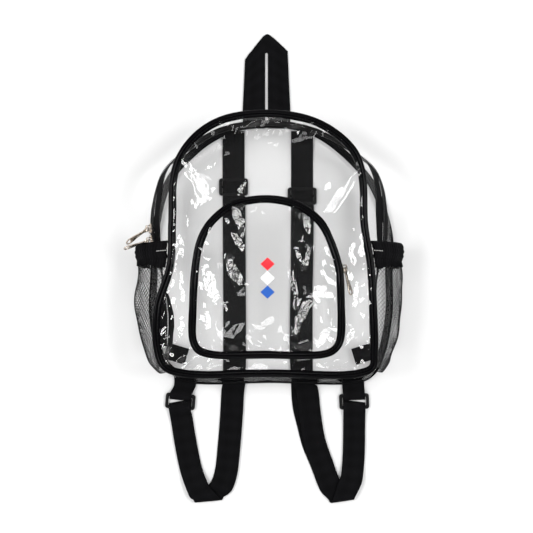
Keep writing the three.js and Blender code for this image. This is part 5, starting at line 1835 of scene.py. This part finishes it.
# Each lamp's place and size in metres and its power in watts
LAMPS = {
    "lamp_left": ((-0.8, 0.1, 1.39), 0.5, 14),
    "lamp_right": ((0.8, 0.1, 1.39), 0.5, 14),
    "lamp_top": ((0, 0.8, 1.39), 0.3, 1.2),
    "lamp_bottom": ((0, -0.8, 1.39), 0.3, 2),
}


def soft_box(name, place, size, power):
    """Square lamp that points at the bag."""
    light = bpy.data.lights.new(name, "AREA")
    light.shape = "SQUARE"
    light.size = size
    light.energy = power
    lamp = new_object(name, light)
    lamp.location = place
    lamp.rotation_euler = (-Vector(place)).to_track_quat("-Z", "Y").to_euler()


def studio_world():
    """Light from the sides of a bright room under a dark ceiling, so the sheet mirrors little from above."""
    world = bpy.data.worlds.new("Studio")
    world.use_nodes = True
    tree = world.node_tree
    tree.nodes.clear()
    ray = add(tree, "ShaderNodeTexCoord").outputs["Generated"]
    height = add(tree, "ShaderNodeSeparateXYZ", (0, ray)).outputs[2]
    ramp = add(
        tree, "ShaderNodeMapRange", ("Value", height),
        in_From_Min=0.45, in_From_Max=0.9, in_To_Min=1.43, in_To_Max=0.12,
    ).outputs[0]
    light = add(tree, "ShaderNodeBackground", (1, ramp), in_Color=(1.0, 1.0, 1.0, 1.0))
    add(tree, "ShaderNodeOutputWorld", ("Surface", light.outputs[0]))
    bpy.context.scene.world = world


def stage():
    mesh = bpy.data.meshes.new("floor")
    corners = [(-1, -1), (1, -1), (1, 1), (-1, 1)]
    mesh.from_pydata([(x * FLOOR_HALF, y * FLOOR_HALF, FLOOR_LEVEL) for x, y in corners], [], [(0, 1, 2, 3)])
    mesh.materials.append(material("paper"))
    new_object("floor", mesh)

    studio_world()
    for name, (place, size, power) in LAMPS.items():
        soft_box(name, place, size, power)

    camera = bpy.data.cameras.new("camera")
    camera.sensor_fit = "HORIZONTAL"
    camera.angle = 2 * math.atan(VIEW_WIDTH / 2 / CAMERA_HEIGHT)
    camera.clip_start = 0.01
    eye = new_object("camera", camera)
    middle = row_points([MODEL_VIEW_MIDDLE])[0]
    eye.location = (middle[0], middle[1], CAMERA_HEIGHT)
    scene = bpy.context.scene
    scene.camera = eye
    scene.view_settings.view_transform = "Standard"
    scene.cycles.transparent_max_bounces = 32


# Operators, panel and registration

class BackpackStageOperator(bpy.types.Operator):
    """Adds the paper floor, the lamps, the room's light and the camera"""

    bl_idname = "backpack.stage"
    bl_label = "Stage"
    bl_options = {"REGISTER", "UNDO"}

    def execute(self, context):
        stage()
        return {"FINISHED"}


class BackpackSheetsOperator(bpy.types.Operator):
    """Adds the clear front, back and gusset strips"""

    bl_idname = "backpack.sheets"
    bl_label = "Clear Sheets"
    bl_options = {"REGISTER", "UNDO"}

    def execute(self, context):
        shape = Shape(context.scene)
        front_panel(shape)
        back_panel(shape)
        gusset_strips(shape)
        return {"FINISHED"}


class BackpackBindingsOperator(bpy.types.Operator):
    """Adds the piping and binding round both seams, with its stitches"""

    bl_idname = "backpack.bindings"
    bl_label = "Bindings"
    bl_options = {"REGISTER", "UNDO"}

    def execute(self, context):
        bindings(Shape(context.scene))
        return {"FINISHED"}


class BackpackMainZipOperator(bpy.types.Operator):
    """Adds the tapes and the coil of the main zip"""

    bl_idname = "backpack.main_zip"
    bl_label = "Main Zip"
    bl_options = {"REGISTER", "UNDO"}

    def execute(self, context):
        main_zip(Shape(context.scene))
        return {"FINISHED"}


class BackpackFrontPocketOperator(bpy.types.Operator):
    """Adds the front pocket with its piping and zip"""

    bl_idname = "backpack.front_pocket"
    bl_label = "Front Pocket"
    bl_options = {"REGISTER", "UNDO"}

    def execute(self, context):
        pocket(Shape(context.scene))
        return {"FINISHED"}


class BackpackNetPocketsOperator(bpy.types.Operator):
    """Adds the net side pockets and their elastic hems"""

    bl_idname = "backpack.net_pockets"
    bl_label = "Net Pockets"
    bl_options = {"REGISTER", "UNDO"}

    def execute(self, context):
        shape = Shape(context.scene)
        for side in SIDES:
            net_pocket(shape, side)
            net_hem(shape, side)
        return {"FINISHED"}


class BackpackStrapsOperator(bpy.types.Operator):
    """Adds both straps and the stubs that hold their rings"""

    bl_idname = "backpack.straps"
    bl_label = "Straps"
    bl_options = {"REGISTER", "UNDO"}

    def execute(self, context):
        straps(Shape(context.scene))
        return {"FINISHED"}


class BackpackCornerPatchesOperator(bpy.types.Operator):
    """Adds the stitched webbing patches in the bottom corners"""

    bl_idname = "backpack.corner_patches"
    bl_label = "Corner Patches"
    bl_options = {"REGISTER", "UNDO"}

    def execute(self, context):
        corner_patches(Shape(context.scene))
        return {"FINISHED"}


class BackpackMouldedPartsOperator(bpy.types.Operator):
    """Adds the moulded rings and slides of the straps"""

    bl_idname = "backpack.moulded_parts"
    bl_label = "Rings and Slides"
    bl_options = {"REGISTER", "UNDO"}

    def execute(self, context):
        moulded_parts(Shape(context.scene))
        return {"FINISHED"}


class BackpackHangLoopOperator(bpy.types.Operator):
    """Adds the folded hang loop"""

    bl_idname = "backpack.hang_loop"
    bl_label = "Hang Loop"
    bl_options = {"REGISTER", "UNDO"}

    def execute(self, context):
        hang_loop(Shape(context.scene))
        return {"FINISHED"}


class BackpackSlidersOperator(bpy.types.Operator):
    """Adds the zip sliders and their pulls"""

    bl_idname = "backpack.sliders"
    bl_label = "Zip Sliders"
    bl_options = {"REGISTER", "UNDO"}

    def execute(self, context):
        sliders(Shape(context.scene))
        return {"FINISHED"}


class BackpackEmblemOperator(bpy.types.Operator):
    """Adds the column of printed diamonds on the pocket"""

    bl_idname = "backpack.emblem"
    bl_label = "Emblem"
    bl_options = {"REGISTER", "UNDO"}

    def execute(self, context):
        emblem(Shape(context.scene))
        return {"FINISHED"}


STEPS = (
    BackpackStageOperator,
    BackpackSheetsOperator,
    BackpackBindingsOperator,
    BackpackMainZipOperator,
    BackpackFrontPocketOperator,
    BackpackNetPocketsOperator,
    BackpackStrapsOperator,
    BackpackCornerPatchesOperator,
    BackpackMouldedPartsOperator,
    BackpackHangLoopOperator,
    BackpackSlidersOperator,
    BackpackEmblemOperator,
)


class BackpackPanel(bpy.types.Panel):
    """Sizes, colours and steps of the clear backpack"""

    bl_idname = "VIEW3D_PT_backpack"
    bl_label = "Clear Backpack"
    bl_space_type = "VIEW_3D"
    bl_region_type = "UI"
    bl_category = "Backpack"

    def draw(self, context):
        for attribute, group in GROUPS.items():
            box = self.layout.box()
            box.label(text=group.__doc__)
            for key in group.__annotations__:
                box.prop(getattr(context.scene, attribute), key)
        for step in STEPS:
            self.layout.operator(step.bl_idname)


CLASSES = (*GROUPS.values(), *STEPS, BackpackPanel)


def register():
    for cls in CLASSES:
        bpy.utils.register_class(cls)
    for attribute, group in GROUPS.items():
        setattr(bpy.types.Scene, attribute, PointerProperty(type=group))


def unregister():
    for attribute in GROUPS:
        delattr(bpy.types.Scene, attribute)
    for cls in reversed(CLASSES):
        bpy.utils.unregister_class(cls)


def main():
    register()
    for step in STEPS:
        group, name = step.bl_idname.split(".")
        getattr(getattr(bpy.ops, group), name)()


if __name__ == "__main__":
    main()
